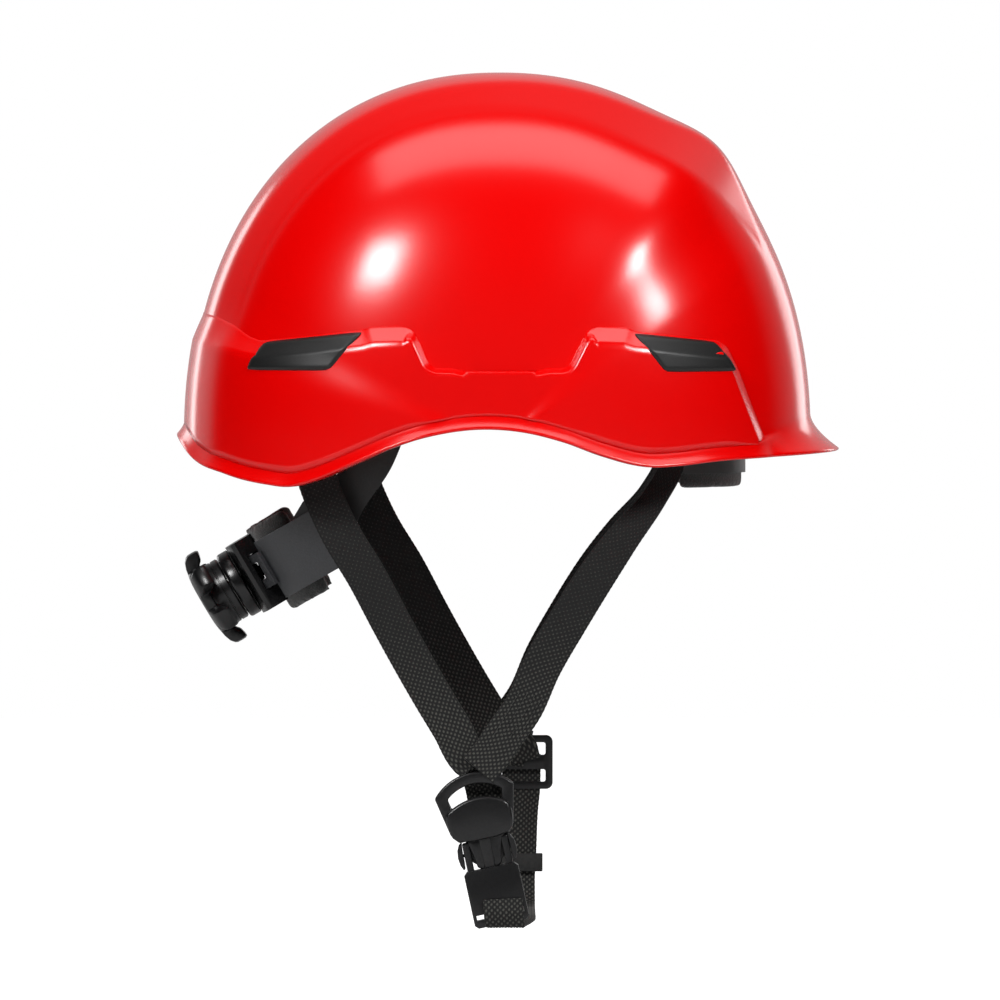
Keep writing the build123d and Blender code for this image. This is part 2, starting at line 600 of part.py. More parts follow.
with BuildPart() as buckle_socket:
    with BuildSketch(BUCKLE.offset(-SOCKET_THICKNESS / 2)):
        with Locations((0, SOCKET_TOP)):
            Rectangle(SOCKET_WIDTH, SOCKET_HEIGHT, align=(Align.CENTER, Align.MAX))
    extrude(amount=SOCKET_THICKNESS)
    chamfer(buckle_socket.edges().filter_by(Axis.Y), length=1.5)
    with BuildSketch(BUCKLE.offset(-SOCKET_THICKNESS / 2 + SOCKET_WALL)):
        with Locations((0, SOCKET_TOP + 1)):
            Rectangle(SOCKET_WIDTH - 2 * SOCKET_WALL, CAVITY_DEPTH + 1, align=(Align.CENTER, Align.MAX))
    extrude(amount=SOCKET_THICKNESS - 2 * SOCKET_WALL, mode=Mode.SUBTRACT)
    with BuildSketch(BUCKLE.offset(-SOCKET_THICKNESS)):
        with Locations((0, SOCKET_LOW + 3.4)):
            Rectangle(SOCKET_WIDTH - 3, 2.2, align=(Align.CENTER, Align.MIN))
    extrude(amount=2 * SOCKET_THICKNESS, mode=Mode.SUBTRACT)
save(buckle_socket.part, "buckle_socket")

# Left slider: a flat ladder lock with two slots and a middle bar.
SLIDER_THICKNESS = 3.0
SLIDER_Y = STRAP_LOW_Y + 2 * WEBBING_THICKNESS + 0.9 + SLIDER_THICKNESS / 2
SLIDER = Plane(origin=(SLIDER_X, SLIDER_Y, SLIDER_Z), x_dir=(-1, 0, 0), z_dir=(0, 1, 0))

with BuildPart() as left_slider:
    with BuildSketch(SLIDER.offset(-SLIDER_THICKNESS / 2)):
        RectangleRounded(SLIDER_WIDTH, SLIDER_HEIGHT, 3)
        with Locations((0, 6), (0, -6)):
            RectangleRounded(WEBBING_WIDTH + 1.6, 5.6, 1, mode=Mode.SUBTRACT)
    extrude(amount=SLIDER_THICKNESS)
save(left_slider.part, "left_slider")

CHIN_TOP = SLIDER_Z - SLIDER_HEIGHT / 2 - WEBBING_THICKNESS / 2 - 0.3
CHIN_START_Y = BUCKLE.origin.Y + SOCKET_THICKNESS / 2 + WEBBING_THICKNESS / 2 + 0.3
CHIN_END_Y = SLIDER_Y
CHIN_X = 7.0

with BuildPart() as chin_strap:
    with BuildSketch(Plane.YZ.offset(CHIN_X - WEBBING_WIDTH / 2)):
        with BuildLine() as chin_line:
            FilletPolyline((CHIN_START_Y, CHIN_LOW_Z), (CHIN_END_Y, CHIN_LOW_Z), (CHIN_END_Y, CHIN_TOP),
                           radius=CHIN_RADIUS)
        make_face(offset(chin_line.line, amount=WEBBING_THICKNESS / 2, side=Side.BOTH).edges())
    extrude(amount=WEBBING_WIDTH)
save(chin_strap.part, "chin_strap")

KEEPER_HOLE = WEBBING_WIDTH + 0.8
KEEPER_GAP = WEBBING_THICKNESS + 0.8
KEEPER_WALL = 1.6
KEEPER_HEIGHT = 8.0
KEEPER_RISE = 3.0

with BuildPart() as strap_keeper:
    with BuildSketch(Plane.XY.offset(CHIN_LOW_Z + CHIN_RADIUS + KEEPER_RISE)):
        with Locations((CHIN_X, CHIN_END_Y)):
            RectangleRounded(KEEPER_HOLE + 2 * KEEPER_WALL, KEEPER_GAP + 2 * KEEPER_WALL, 1)
            Rectangle(KEEPER_HOLE, KEEPER_GAP, mode=Mode.SUBTRACT)
    extrude(amount=KEEPER_HEIGHT)
save(strap_keeper.part, "strap_keeper")
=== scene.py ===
"""Climbing helmet: the looks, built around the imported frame. Lengths in the code are millimetres."""
import json
import math

import bmesh
import bpy
import numpy as np
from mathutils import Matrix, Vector

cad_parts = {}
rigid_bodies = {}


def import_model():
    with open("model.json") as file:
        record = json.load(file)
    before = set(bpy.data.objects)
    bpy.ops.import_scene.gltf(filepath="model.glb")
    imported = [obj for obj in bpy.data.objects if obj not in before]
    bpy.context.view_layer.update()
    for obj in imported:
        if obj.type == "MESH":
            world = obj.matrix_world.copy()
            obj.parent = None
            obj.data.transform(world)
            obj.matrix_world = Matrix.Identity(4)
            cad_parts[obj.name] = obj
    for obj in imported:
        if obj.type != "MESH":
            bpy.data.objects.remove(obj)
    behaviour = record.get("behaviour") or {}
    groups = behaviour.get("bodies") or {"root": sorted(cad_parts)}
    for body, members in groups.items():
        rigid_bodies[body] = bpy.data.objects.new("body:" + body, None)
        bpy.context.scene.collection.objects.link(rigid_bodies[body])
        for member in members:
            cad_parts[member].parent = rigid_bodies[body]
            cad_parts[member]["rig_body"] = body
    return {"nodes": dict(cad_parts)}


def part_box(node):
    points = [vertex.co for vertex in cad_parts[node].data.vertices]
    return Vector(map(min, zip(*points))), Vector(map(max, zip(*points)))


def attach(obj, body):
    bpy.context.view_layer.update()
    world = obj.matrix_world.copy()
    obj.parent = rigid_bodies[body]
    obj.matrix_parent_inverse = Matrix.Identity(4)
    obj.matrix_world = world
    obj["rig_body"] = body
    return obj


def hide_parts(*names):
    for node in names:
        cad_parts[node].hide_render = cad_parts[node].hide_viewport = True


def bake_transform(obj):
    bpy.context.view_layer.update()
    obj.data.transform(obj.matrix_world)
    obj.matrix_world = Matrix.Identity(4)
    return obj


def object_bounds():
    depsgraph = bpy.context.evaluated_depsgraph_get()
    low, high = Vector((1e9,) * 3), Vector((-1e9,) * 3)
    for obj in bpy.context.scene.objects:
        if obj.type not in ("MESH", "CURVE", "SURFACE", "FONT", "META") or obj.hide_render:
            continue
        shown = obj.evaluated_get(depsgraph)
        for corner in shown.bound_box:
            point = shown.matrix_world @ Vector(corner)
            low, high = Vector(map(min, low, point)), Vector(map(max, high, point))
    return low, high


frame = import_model()
cad_box = [[float(v) for v in corner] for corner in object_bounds()]

# ---- Camera, floor and lights ------------------------------------------------------------------
# A long lens square to the wearer's right side, over a pale sweep, with broad soft light from above
# and a pale surround that lights the shell's outline.
VIEW_WIDTH = 440.0
VIEW_MIDDLE = -26.4
VIEW_DISTANCE = 6000.0
VIEW_RISE = math.radians(1.2)
SENSOR = 36.0
LENS_REACH = 60.0
MM = 0.001

camera_data = bpy.data.cameras.new("camera")
camera_data.lens = SENSOR * VIEW_DISTANCE / VIEW_WIDTH
camera_data.sensor_width = SENSOR
camera_data.clip_end = LENS_REACH
camera = bpy.data.objects.new("camera", camera_data)
bpy.context.scene.collection.objects.link(camera)
camera.location = (0, -VIEW_DISTANCE * math.cos(VIEW_RISE) * MM,
                   (VIEW_MIDDLE + VIEW_DISTANCE * math.sin(VIEW_RISE)) * MM)
camera.rotation_euler = (math.pi / 2 - VIEW_RISE, 0, 0)
bpy.context.scene.camera = camera


def linear(hex_code):
    """An sRGB hex colour as the linear RGBA that shaders take."""
    channels = [int(hex_code[i:i + 2], 16) / 255 for i in (0, 2, 4)]
    return tuple(c / 12.92 if c <= 0.04045 else ((c + 0.055) / 1.055) ** 2.4 for c in channels) + (1.0,)


def add_node(tree, kind, links=(), **settings):
    """Adds one node; settings are its sockets by name or its own properties, links are (socket, output)."""
    node = tree.nodes.new(kind)
    for name, value in settings.items():
        socket = name.replace("_", " ")
        matches = [s for s in node.inputs if s.name.lower() == socket.lower() and s.enabled]
        if hasattr(node, name):
            setattr(node, name, value)
        elif matches:
            matches[0].default_value = value
        else:
            raise ValueError(f"{kind} has no {name}")
    for socket, output in links:
        tree.links.new(output, node.inputs[socket])
    return node


def new_material(name, **finish):
    """A material with one principled shader; returns it, its tree and the shader."""
    material = bpy.data.materials.new(name)
    material.use_nodes = True
    shader = material.node_tree.nodes["Principled BSDF"]
    for key, value in finish.items():
        shader.inputs[key.replace("_", " ")].default_value = value
    return material, material.node_tree, shader


def mesh_object(name, points, faces, material, smooth=True):
    """A piece from millimetre points and index faces, with its normals turned outwards."""
    mesh = bpy.data.meshes.new(name)
    mesh.from_pydata([tuple(float(c) * MM for c in p) for p in points], [], [tuple(f) for f in faces])
    work = bmesh.new()
    work.from_mesh(mesh)
    bmesh.ops.remove_doubles(work, verts=work.verts, dist=1e-6)
    bmesh.ops.recalc_face_normals(work, faces=work.faces)
    work.to_mesh(mesh)
    work.free()
    mesh.polygons.foreach_set("use_smooth", [smooth] * len(mesh.polygons))
    mesh.materials.append(material)
    piece = bpy.data.objects.new(name, mesh)
    bpy.context.scene.collection.objects.link(piece)
    return piece


def grid_faces(rows, columns, wrap=False):
    """Quads of a grid whose points run row by row; wrap closes each row on itself."""
    faces = []
    for r in range(rows - 1):
        for c in range(columns if wrap else columns - 1):
            n = (c + 1) % columns
            faces.append((r * columns + c, r * columns + n, (r + 1) * columns + n, (r + 1) * columns + c))
    return faces


FLOOR_DROP = 30.0
FLOOR_Z = cad_box[0][2] / MM - FLOOR_DROP
FLOOR_SPAN = ((-3000, 3000), (-2600, 3200))
floor_paint, floor_tree, floor_shader = new_material("matt studio paper", Roughness=0.9)
paper_grain = add_node(floor_tree, "ShaderNodeTexNoise", Scale=3.0)
paper_tint = add_node(floor_tree, "ShaderNodeValToRGB", [("Fac", paper_grain.outputs["Fac"])])
paper_tint.color_ramp.elements[0].color = linear("C8C8C8")
paper_tint.color_ramp.elements[1].color = linear("CCCCCC")
floor_tree.links.new(paper_tint.outputs["Color"], floor_shader.inputs["Base Color"])
floor_shader.inputs["Emission Color"].default_value = (1, 1, 1, 1)
paper_eye = add_node(floor_tree, "ShaderNodeLightPath")
paper_glow = add_node(floor_tree, "ShaderNodeMapRange", [("Value", paper_eye.outputs["Is Camera Ray"])])
paper_glow.inputs["To Min"].default_value = 0.03
paper_glow.inputs["To Max"].default_value = 0.95
floor_tree.links.new(paper_glow.outputs["Result"], floor_shader.inputs["Emission Strength"])
floor_points = [(x, y, FLOOR_Z) for y in FLOOR_SPAN[1] for x in FLOOR_SPAN[0]]
floor = mesh_object("studio_floor", floor_points, grid_faces(2, 2), floor_paint)

# The surround is white behind the helmet and dim on the lens's side, as in a studio with a white wall.
world = bpy.data.worlds.new("pale surround")
world.use_nodes = True
sky = world.node_tree
sky_side = add_node(sky, "ShaderNodeTexCoord")
sky_axes = add_node(sky, "ShaderNodeSeparateXYZ", [("Vector", sky_side.outputs["Generated"])])
sky_ramp = add_node(sky, "ShaderNodeMapRange", [("Value", sky_axes.outputs["Y"])])
sky_ramp.inputs["From Min"].default_value = 0.25
sky_ramp.inputs["From Max"].default_value = 0.8
sky_ramp.inputs["To Min"].default_value = 0.0
sky_ramp.inputs["To Max"].default_value = 0.5
sky.nodes["Background"].inputs["Color"].default_value = (1, 1, 1, 1)
sky_eye = add_node(sky, "ShaderNodeLightPath")
sky_mix = add_node(sky, "ShaderNodeMix", [("Factor", sky_eye.outputs["Is Camera Ray"]),
                                          ("A", sky_ramp.outputs["Result"])])
sky_mix.inputs["B"].default_value = 1.0
sky.links.new(sky_mix.outputs["Result"], sky.nodes["Background"].inputs["Strength"])
bpy.context.scene.world = world
bpy.context.scene.view_settings.view_transform = "Standard"

# Each soft box: name, place, aim, width, height, power in watts.
SOFT_BOXES = [
    ("overhead", (0, -250, 1500), (0, 0, 60), 1700, 700, 12),
    ("rear_key", (-1150, -1700, 1300), (-60, 0, 80), 460, 460, 30),
    ("front_key", (1300, -1600, 1200), (60, 0, 80), 380, 460, 25),
    ("front_edge", (1500, 2300, 300), (60, 0, 0), 500, 1500, 8),
    ("rear_edge", (-1500, 2300, 300), (-60, 0, 0), 500, 1500, 8),
    ("fill", (0, -2600, 200), (0, 0, 0), 2400, 1600, 4),
]
for name, place, aim, width, height, power in SOFT_BOXES:
    light = bpy.data.lights.new(name, "AREA")
    light.shape = "RECTANGLE"
    light.size = width * MM
    light.size_y = height * MM
    light.energy = power
    lamp = bpy.data.objects.new(name, light)
    bpy.context.scene.collection.objects.link(lamp)
    lamp.location = Vector(place) * MM
    lamp.rotation_euler = (Vector(place) - Vector(aim)).to_track_quat("Z", "Y").to_euler()
    lamp.visible_glossy = name != "fill"

# ---- Shell -------------------------------------------------------------------------------------
# One injection-moulded ABS bowl, glossy red. A raised band runs over the crown between two soft
# creases, and the edge turns out into a thin rim that grows into a short peak at the front.
SHELL_LONG = 136.6
SHELL_HIGH = 161.6
SHELL_POWER = 2.18
SHELL_WIDE = 105.6
SIDE_POWER = 2.4
CORNER_ANGLE = 53.7
CORNER_SPREAD = 8.0
CORNER_RISE = 0.034
CREASE_SOFTNESS = 0.004
BAND_RISE = 0.014
BAND_FRONT = (34, 52)
BAND_REAR = (150, 164)
SHELL_WALL = 2.5

# Half-widths of the crown band's two creases, by angle round the side view from front to rear.
BAND_ANGLES = [0, 37, 46, 54, 63, 90, 140, 180]
BAND_UPPER = [36, 36, 22, 18, 26, 33, 40, 42]
BAND_LOWER = [36.5, 37, 47, 55, 56, 54, 57, 58]

# The rim line in side view: the shell's lower edge, from the rear tip to the peak.
RIM_X = [-142, -132, -114, -97, -88, -79, -61, -44, -26, -9, 9, 26, 44, 62, 75, 88, 123, 149]
RIM_Z = [9.7, -4.2, -13.7, -17.9, -18.8, -16.5, -8.8, -1.3, 4.0, 6.2, 5.1, 0.9, -5.7, -10.1, -9.6, -8.0,
         -5.6, -3.1]


def smooth_path(x, xs, ys):
    """A smooth curve through the given points, by cubic pieces with continuous slope."""
    xs = np.asarray(xs, float)
    ys = np.asarray(ys, float)
    x = np.clip(x, xs[0], xs[-1])
    slopes = np.gradient(ys, xs)
    i = np.clip(np.searchsorted(xs, x) - 1, 0, len(xs) - 2)
    step = xs[i + 1] - xs[i]
    t = (x - xs[i]) / step
    return (ys[i] * (1 + 2 * t) * (1 - t) ** 2 + slopes[i] * step * t * (1 - t) ** 2
            + ys[i + 1] * t**2 * (3 - 2 * t) + slopes[i + 1] * step * t**2 * (t - 1))


def smooth_step(x, low, high):
    """0 below low, 1 above high and an even ease between them."""
    t = np.clip((x - low) / (high - low), 0, 1)
    return t * t * (3 - 2 * t)


def shell_level(x, y, z):
    """1 on the shell's outer face, less inside; it grows in proportion along any line from the origin."""
    z = np.maximum(z, 0)
    angle = np.degrees(np.arctan2(z, x))
    corner = 1 + CORNER_RISE * np.exp(-((angle - CORNER_ANGLE) / CORNER_SPREAD) ** 2)
    side = ((np.abs(x) / SHELL_LONG) ** SHELL_POWER + (z / SHELL_HIGH) ** SHELL_POWER) ** (1 / SHELL_POWER)
    side = side / corner
    across = np.abs(y) / SHELL_WIDE
    body = (across**SIDE_POWER + side**SIDE_POWER) ** (1 / SIDE_POWER)
    upper = smooth_path(angle, BAND_ANGLES, BAND_UPPER) / SHELL_WIDE
    lower = smooth_path(angle, BAND_ANGLES, BAND_LOWER) / SHELL_WIDE
    upper_side = (1 - upper**SIDE_POWER) ** (1 / SIDE_POWER)
    lower_side = (1 - lower**SIDE_POWER) ** (1 / SIDE_POWER)
    scale = upper * lower_side - lower * upper_side
    facet = (across * (lower_side - upper_side) + side * (upper - lower)) / scale
    gap = np.maximum(CREASE_SOFTNESS - np.abs(body - facet), 0) / CREASE_SOFTNESS
    level = np.maximum(body, facet) + gap**2 * CREASE_SOFTNESS / 4
    reach = across / np.maximum(level, 1e-6)
    ramp = np.clip((reach - upper) / (lower - upper), 0, 1)
    raised = BAND_RISE * smooth_step(angle, *BAND_FRONT) * (1 - smooth_step(angle, *BAND_REAR))
    return level * (1 + raised * ramp)


def shell_at_height(turn, z):
    """The outer face at a turn round the plan (0 at the front, counter-clockwise) and a height."""
    x = SHELL_LONG * np.cos(turn)
    y = SHELL_WIDE * np.sin(turn)
    low = np.zeros_like(x)
    high = np.full_like(x, 1.3)
    for _ in range(40):
        middle = (low + high) / 2
        inside = shell_level(middle * x, middle * y, z) < 1
        low = np.where(inside, middle, low)
        high = np.where(inside, high, middle)
    return np.stack([low * x, low * y, z + 0 * x], axis=-1)


def shell_over(turn, rise, start):
    """The outer face above a starting height, rise going from 0 there to 1 at the crown."""
    base = shell_at_height(turn, start)
    spread = np.hypot(base[..., 0] / SHELL_LONG, base[..., 1] / SHELL_WIDE)
    first = np.arctan2(base[..., 2] / SHELL_HIGH, spread)
    lift = first + (math.pi / 2 - first) * rise
    x = SHELL_LONG * np.cos(turn) * np.cos(lift)
    y = SHELL_WIDE * np.sin(turn) * np.cos(lift)
    z = SHELL_HIGH * np.sin(lift)
    return np.stack([x, y, z], axis=-1) / shell_level(x, y, z)[..., None]


def outward(points):
    """Unit normals of the shell's outer face near the given points."""
    d = 0.05
    steps = [shell_level(*(points + d * axis).T) - shell_level(*(points - d * axis).T) for axis in np.eye(3)]
    slope = np.stack(steps, axis=-1)
    return slope / np.linalg.norm(slope, axis=-1, keepdims=True)


SHELL_COLUMNS = 400
TURNS = np.linspace(0, 2 * math.pi, SHELL_COLUMNS, endpoint=False)
LOW_TOP = 60.0
plan = shell_at_height(TURNS, np.zeros_like(TURNS))
rim_low = smooth_path(plan[:, 0], RIM_X, RIM_Z)
peak = smooth_step(np.cos(TURNS), 0.72, 0.97)
rear = smooth_step(-np.cos(TURNS), 0.84, 0.985)
UNDER_BELT = (4.4 - 2.4 * rear) * (1 - smooth_step(np.cos(TURNS), 0.74, 0.86))
FLARE_OUT = np.maximum(UNDER_BELT + 3.6, 4.4 + 8.2 * peak)
FLARE_RISE = 6.4 + 8.2 * peak
LIP = 1.5

rows = []
for rise in np.linspace(0.999, 0, 84):
    rows.append(shell_over(TURNS, rise, np.full_like(TURNS, LOW_TOP)))
flare_top = rim_low + LIP + FLARE_RISE
for share in np.linspace(0, 1, 26)[1:]:
    rows.append(shell_at_height(TURNS, LOW_TOP + (flare_top - LOW_TOP) * share))
edge = rows[-1]
flat_out = np.stack([np.cos(TURNS) / SHELL_LONG, np.sin(TURNS) / SHELL_WIDE, 0 * TURNS], axis=-1)
flat_out /= np.linalg.norm(flat_out, axis=-1, keepdims=True)
down = np.array([0, 0, -1.0])


def rim_point(out, drop):
    """A ring of points at a reach out from the bowl's lower edge and a drop below it."""
    return edge + flat_out * (np.asarray(out)[..., None]) + down * (np.asarray(drop)[..., None])


for share in np.linspace(0, 1, 15)[1:]:
    bend = UNDER_BELT * smooth_step(share, 0, 0.3) + (FLARE_OUT * 0.95 - UNDER_BELT) * share**1.7
    rows.append(rim_point(bend, FLARE_RISE * share))
rows.append(rim_point(FLARE_OUT, FLARE_RISE + 0.35 * LIP))
rows.append(rim_point(FLARE_OUT * 0.99, FLARE_RISE + 0.75 * LIP))
rows.append(rim_point(FLARE_OUT * 0.93, FLARE_RISE + LIP))
rows.append(rim_point(FLARE_OUT * 0.55, FLARE_RISE + LIP))
rows.append(rim_point(FLARE_OUT * 0.2 - SHELL_WALL * 0.8, FLARE_RISE + 0.85 * LIP))
rows.append(rim_point(-SHELL_WALL + 0 * TURNS, FLARE_RISE * 0.8))
for share in np.linspace(1, 0, 12):
    outer = shell_at_height(TURNS, LOW_TOP + (flare_top - LOW_TOP) * share)
    rows.append(outer - outward(outer) * SHELL_WALL)
for rise in np.linspace(0.05, 0.99, 30):
    outer = shell_over(TURNS, rise, np.full_like(TURNS, LOW_TOP))
    rows.append(outer - outward(outer) * SHELL_WALL)

shell_points = np.concatenate(rows).tolist()
shell_faces = grid_faces(len(rows), len(TURNS), wrap=True)
top = len(shell_points)
shell_points.append([0, 0, float(SHELL_HIGH)])
shell_points.append([0, 0, float(SHELL_HIGH - SHELL_WALL)])
last = (len(rows) - 1) * len(TURNS)
for c in range(len(TURNS)):
    n = (c + 1) % len(TURNS)
    shell_faces.append((c, n, top))
    shell_faces.append((last + n, last + c, top + 1))

# Injection-moulded ABS with a polished face: deep even red, a clear gloss and a barely uneven skin.
shell_abs, abs_tree, abs_shader = new_material("injection-moulded glossy ABS", Roughness=0.2, IOR=1.5)
mould_flow = add_node(abs_tree, "ShaderNodeTexNoise", Scale=9.0, Detail=2.0)
place_node = add_node(abs_tree, "ShaderNodeTexCoord")
abs_tree.links.new(place_node.outputs["Object"], mould_flow.inputs["Vector"])
abs_red = add_node(abs_tree, "ShaderNodeValToRGB", [("Fac", mould_flow.outputs["Fac"])])
abs_red.color_ramp.elements[0].color = linear("DE0000")
abs_red.color_ramp.elements[1].color = linear("E60000")
abs_tree.links.new(abs_red.outputs["Color"], abs_shader.inputs["Base Color"])
skin = add_node(abs_tree, "ShaderNodeTexNoise", [("Vector", place_node.outputs["Object"])],
                Scale=420.0, Detail=1.0)
skin_bump = add_node(abs_tree, "ShaderNodeBump", [("Height", skin.outputs["Fac"])],
                     Strength=0.012, Distance=0.001)
abs_tree.links.new(skin_bump.outputs["Normal"], abs_shader.inputs["Normal"])

shell = mesh_object("shell_bowl", shell_points, shell_faces, shell_abs)
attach(shell, "root")
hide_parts("outer_shell")

# ---- Side belt ---------------------------------------------------------------------------------
# A proud panel of the same moulding runs low round both sides and the back. Its top edge is a
# chamfer, stepped down in the middle of each side over the accessory slot.
BELT_RISE = 5.0
BELT_CHAMFER = 6.6
END_CHAMFER = 3.0
LEDGE_CHAMFER = 2.4
REAR_CHAMFER = 12.0
SLOT_HALF = 15.5
SLOT_DEPTH = 9.0
SLOT_SKIN = 1.6
FOOT_GAP = 4.4

# The belt's outline on one side, from the middle of the back to the front end, as (x, z).
BELT_EDGE = [(-131.0, 56.3), (-124.1, 54.8), (-116.2, 51.3), (-109.3, 46.3), (-104.4, 44.4),
             (-60.1, 49.0), (-56.1, 50.4), (-42.4, 50.8), (-37.9, 49.4), (-35.5, 45.4), (-31.0, 34.8),
             (-28.6, 32.8), (-19.2, 32.8), (-18.0, 31.8), (18.0, 31.8), (19.2, 32.8), (28.6, 32.8),
             (30.5, 34.6), (36.0, 45.8), (38.4, 49.2), (42.4, 50.6), (55.2, 50.2), (58.5, 48.6),
             (95.0, 44.6), (98.8, 41.8), (103.9, 31.3), (109.3, 16.8), (115.2, 1.8)]
BELT_COLUMNS = 260
BELT_ROWS = 16


def along(path, count):
    """Even points along a polyline, always with its corners among them."""
    path = np.asarray(path, float)
    lengths = np.hypot(*np.diff(path, axis=0).T)
    shares = np.maximum(1, np.round(lengths / lengths.sum() * count)).astype(int)
    spots = [path[i] + (path[i + 1] - path[i]) * np.linspace(0, 1, n, endpoint=False)[:, None]
             for i, n in enumerate(shares)]
    return np.concatenate([*spots, path[-1:]])


def rounded(line, passes):
    """Eases a line's corners by averaging neighbours, its two ends held."""
    line = line.copy()
    for _ in range(passes):
        line[1:-1] = (line[:-2] + 2 * line[1:-1] + line[2:]) / 4
    return line


def on_belt(turn, z, rise):
    """A point at a rise over the shell's outer face, in plan."""
    base = shell_at_height(turn, z)
    flat = base[:, :2] / np.array([SHELL_LONG**2, SHELL_WIDE**2])
    flat /= np.linalg.norm(flat, axis=1, keepdims=True)
    return base + np.concatenate([flat * np.asarray(rise)[..., None] * np.ones((len(turn), 1)),
                                  np.zeros((len(turn), 1))], axis=1)


def turn_at(x, z, rise=0.0):
    """The turn round the plan, on the left side, where a point at this rise over the face has this x."""
    near = np.zeros_like(x)
    far = np.full_like(x, math.pi)
    for _ in range(22):
        middle = (near + far) / 2
        short = on_belt(middle, z, rise)[:, 0] > x
        near = np.where(short, middle, near)
        far = np.where(short, far, middle)
    return (near + far) / 2


def rim_height(turn):
    """The rim's lower edge at a turn."""
    return smooth_path(shell_at_height(turn, np.zeros_like(turn))[:, 0], RIM_X, RIM_Z)


outline = rounded(along(BELT_EDGE, BELT_COLUMNS), 2)
edge_turn = turn_at(outline[:, 0], outline[:, 1])
belt_share = 1 - 0.5 * smooth_step(-np.cos(edge_turn), 0.84, 0.985)
edge_turn[0] = math.pi
tangent = np.gradient(outline, axis=0)
tangent /= np.linalg.norm(tangent, axis=1, keepdims=True)
chamfer = LEDGE_CHAMFER + (BELT_CHAMFER - LEDGE_CHAMFER) * smooth_step(outline[:, 1], 33, 45)
chamfer = np.where(outline[:, 0] > 97, END_CHAMFER, chamfer)
notch = (np.abs(outline[:, 0]) < 41) & (outline[:, 1] < 49)
chamfer = np.where(notch, LEDGE_CHAMFER, chamfer)
inset = outline + np.stack([tangent[:, 1], -tangent[:, 0]], axis=1) * rounded(chamfer, 3)[:, None]
inset = rounded(inset, 1)
inset_turn = turn_at(inset[:, 0], inset[:, 1], BELT_RISE)
rear_share = smooth_step(-outline[:, 0], 104, 122)
inset_turn += (edge_turn - inset_turn) * rear_share
inset_z = inset[:, 1] - rear_share * (REAR_CHAMFER - BELT_CHAMFER)
inset_turn[-1] = turn_at(outline[-1:, 0] - END_CHAMFER, outline[-1:, 1], BELT_RISE)[0]
foot_z = rim_height(inset_turn) + LIP + FOOT_GAP

slot_mask = (np.abs(outline[:, 0]) < SLOT_HALF).astype(float)
belt_rows = [on_belt(edge_turn, outline[:, 1] - SLOT_DEPTH * slot_mask, -0.6 + 1.0 * slot_mask)]
belt_rows.append(on_belt(edge_turn, outline[:, 1] - SLOT_DEPTH * slot_mask, 0.2 + 2.8 * slot_mask))
for share in (0.12, 0.5, 0.88, 1.0):
    turn = edge_turn + (inset_turn - edge_turn) * share
    z = outline[:, 1] + (inset_z - outline[:, 1]) * share
    plain = BELT_RISE * (share * 1.02 - 0.02 * share**4)
    lip_z = outline[:, 1] - share * 0.8
    lip = BELT_RISE - SLOT_SKIN * (1 - share)
    belt_rows.append(on_belt(turn, z * (1 - slot_mask) + lip_z * slot_mask,
                             (plain * (1 - slot_mask) + lip * slot_mask) * belt_share))
start_z = inset_z * (1 - slot_mask) + (outline[:, 1] - 0.8) * slot_mask
for share in np.linspace(0, 1, BELT_ROWS)[1:]:
    belt_rows.append(on_belt(inset_turn, start_z + (foot_z - start_z) * share, BELT_RISE * belt_share))
belt_rows.append(on_belt(inset_turn, foot_z - 0.2, BELT_RISE * belt_share - 2.5))
for side in (1, -1):
    belt_points = np.concatenate(belt_rows) * np.array([1, side, 1])
    belt = mesh_object("shell_belt_left" if side > 0 else "shell_belt_right", belt_points.tolist(),
                       grid_faces(len(belt_rows), len(outline)), shell_abs)
    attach(belt, "root")

# ---- Lamp clips --------------------------------------------------------------------------------
# Four satin black nylon plates, each moulded with a hinge along its lower edge and let into the
# belt. A crease runs along each one, and its upper half leans in so that a lamp strap slips behind.
CLIP_COLUMNS = 44
CLIP_ROWS = 18
CLIP_THICK = 2.6
CLIP_FACE = 5.9
CLIP_LEAN = 3.7
# Corners as (x, z): lower outer end, lower inner end, upper inner end, upper outer end.
CLIP_CORNERS = {"rear": [(-110.5, 31.6), (-74, 31.6), (-60.2, 48.6), (-104.8, 44)],
                "front": [(103.2, 31.2), (71.5, 31), (58.6, 48), (95.4, 44.2)]}


def moulded(name, dark, light, roughness, grain_size, bump):
    """A moulded plastic: two close tones in a fine grain, a gloss and a light surface texture."""
    material, tree, shader = new_material(name, Roughness=roughness, IOR=1.5)
    place = add_node(tree, "ShaderNodeTexCoord")
    grain = add_node(tree, "ShaderNodeTexNoise", [("Vector", place.outputs["Object"])],
                     Scale=grain_size, Detail=3.0)
    tone = add_node(tree, "ShaderNodeValToRGB", [("Fac", grain.outputs["Fac"])])
    tone.color_ramp.elements[0].position = 0.3
    tone.color_ramp.elements[1].position = 0.7
    tone.color_ramp.elements[0].color = linear(dark)
    tone.color_ramp.elements[1].color = linear(light)
    tree.links.new(tone.outputs["Color"], shader.inputs["Base Color"])
    relief = add_node(tree, "ShaderNodeBump", [("Height", grain.outputs["Fac"])],
                      Strength=bump, Distance=0.0002)
    tree.links.new(relief.outputs["Normal"], shader.inputs["Normal"])
    return material


# Moulded nylon straight off a fine-eroded tool: dark, satin, with a light grain that catches soft edges.
clip_nylon = moulded("satin moulded nylon", "0C0C0C", "161616", 0.4, 1600.0, 0.12)

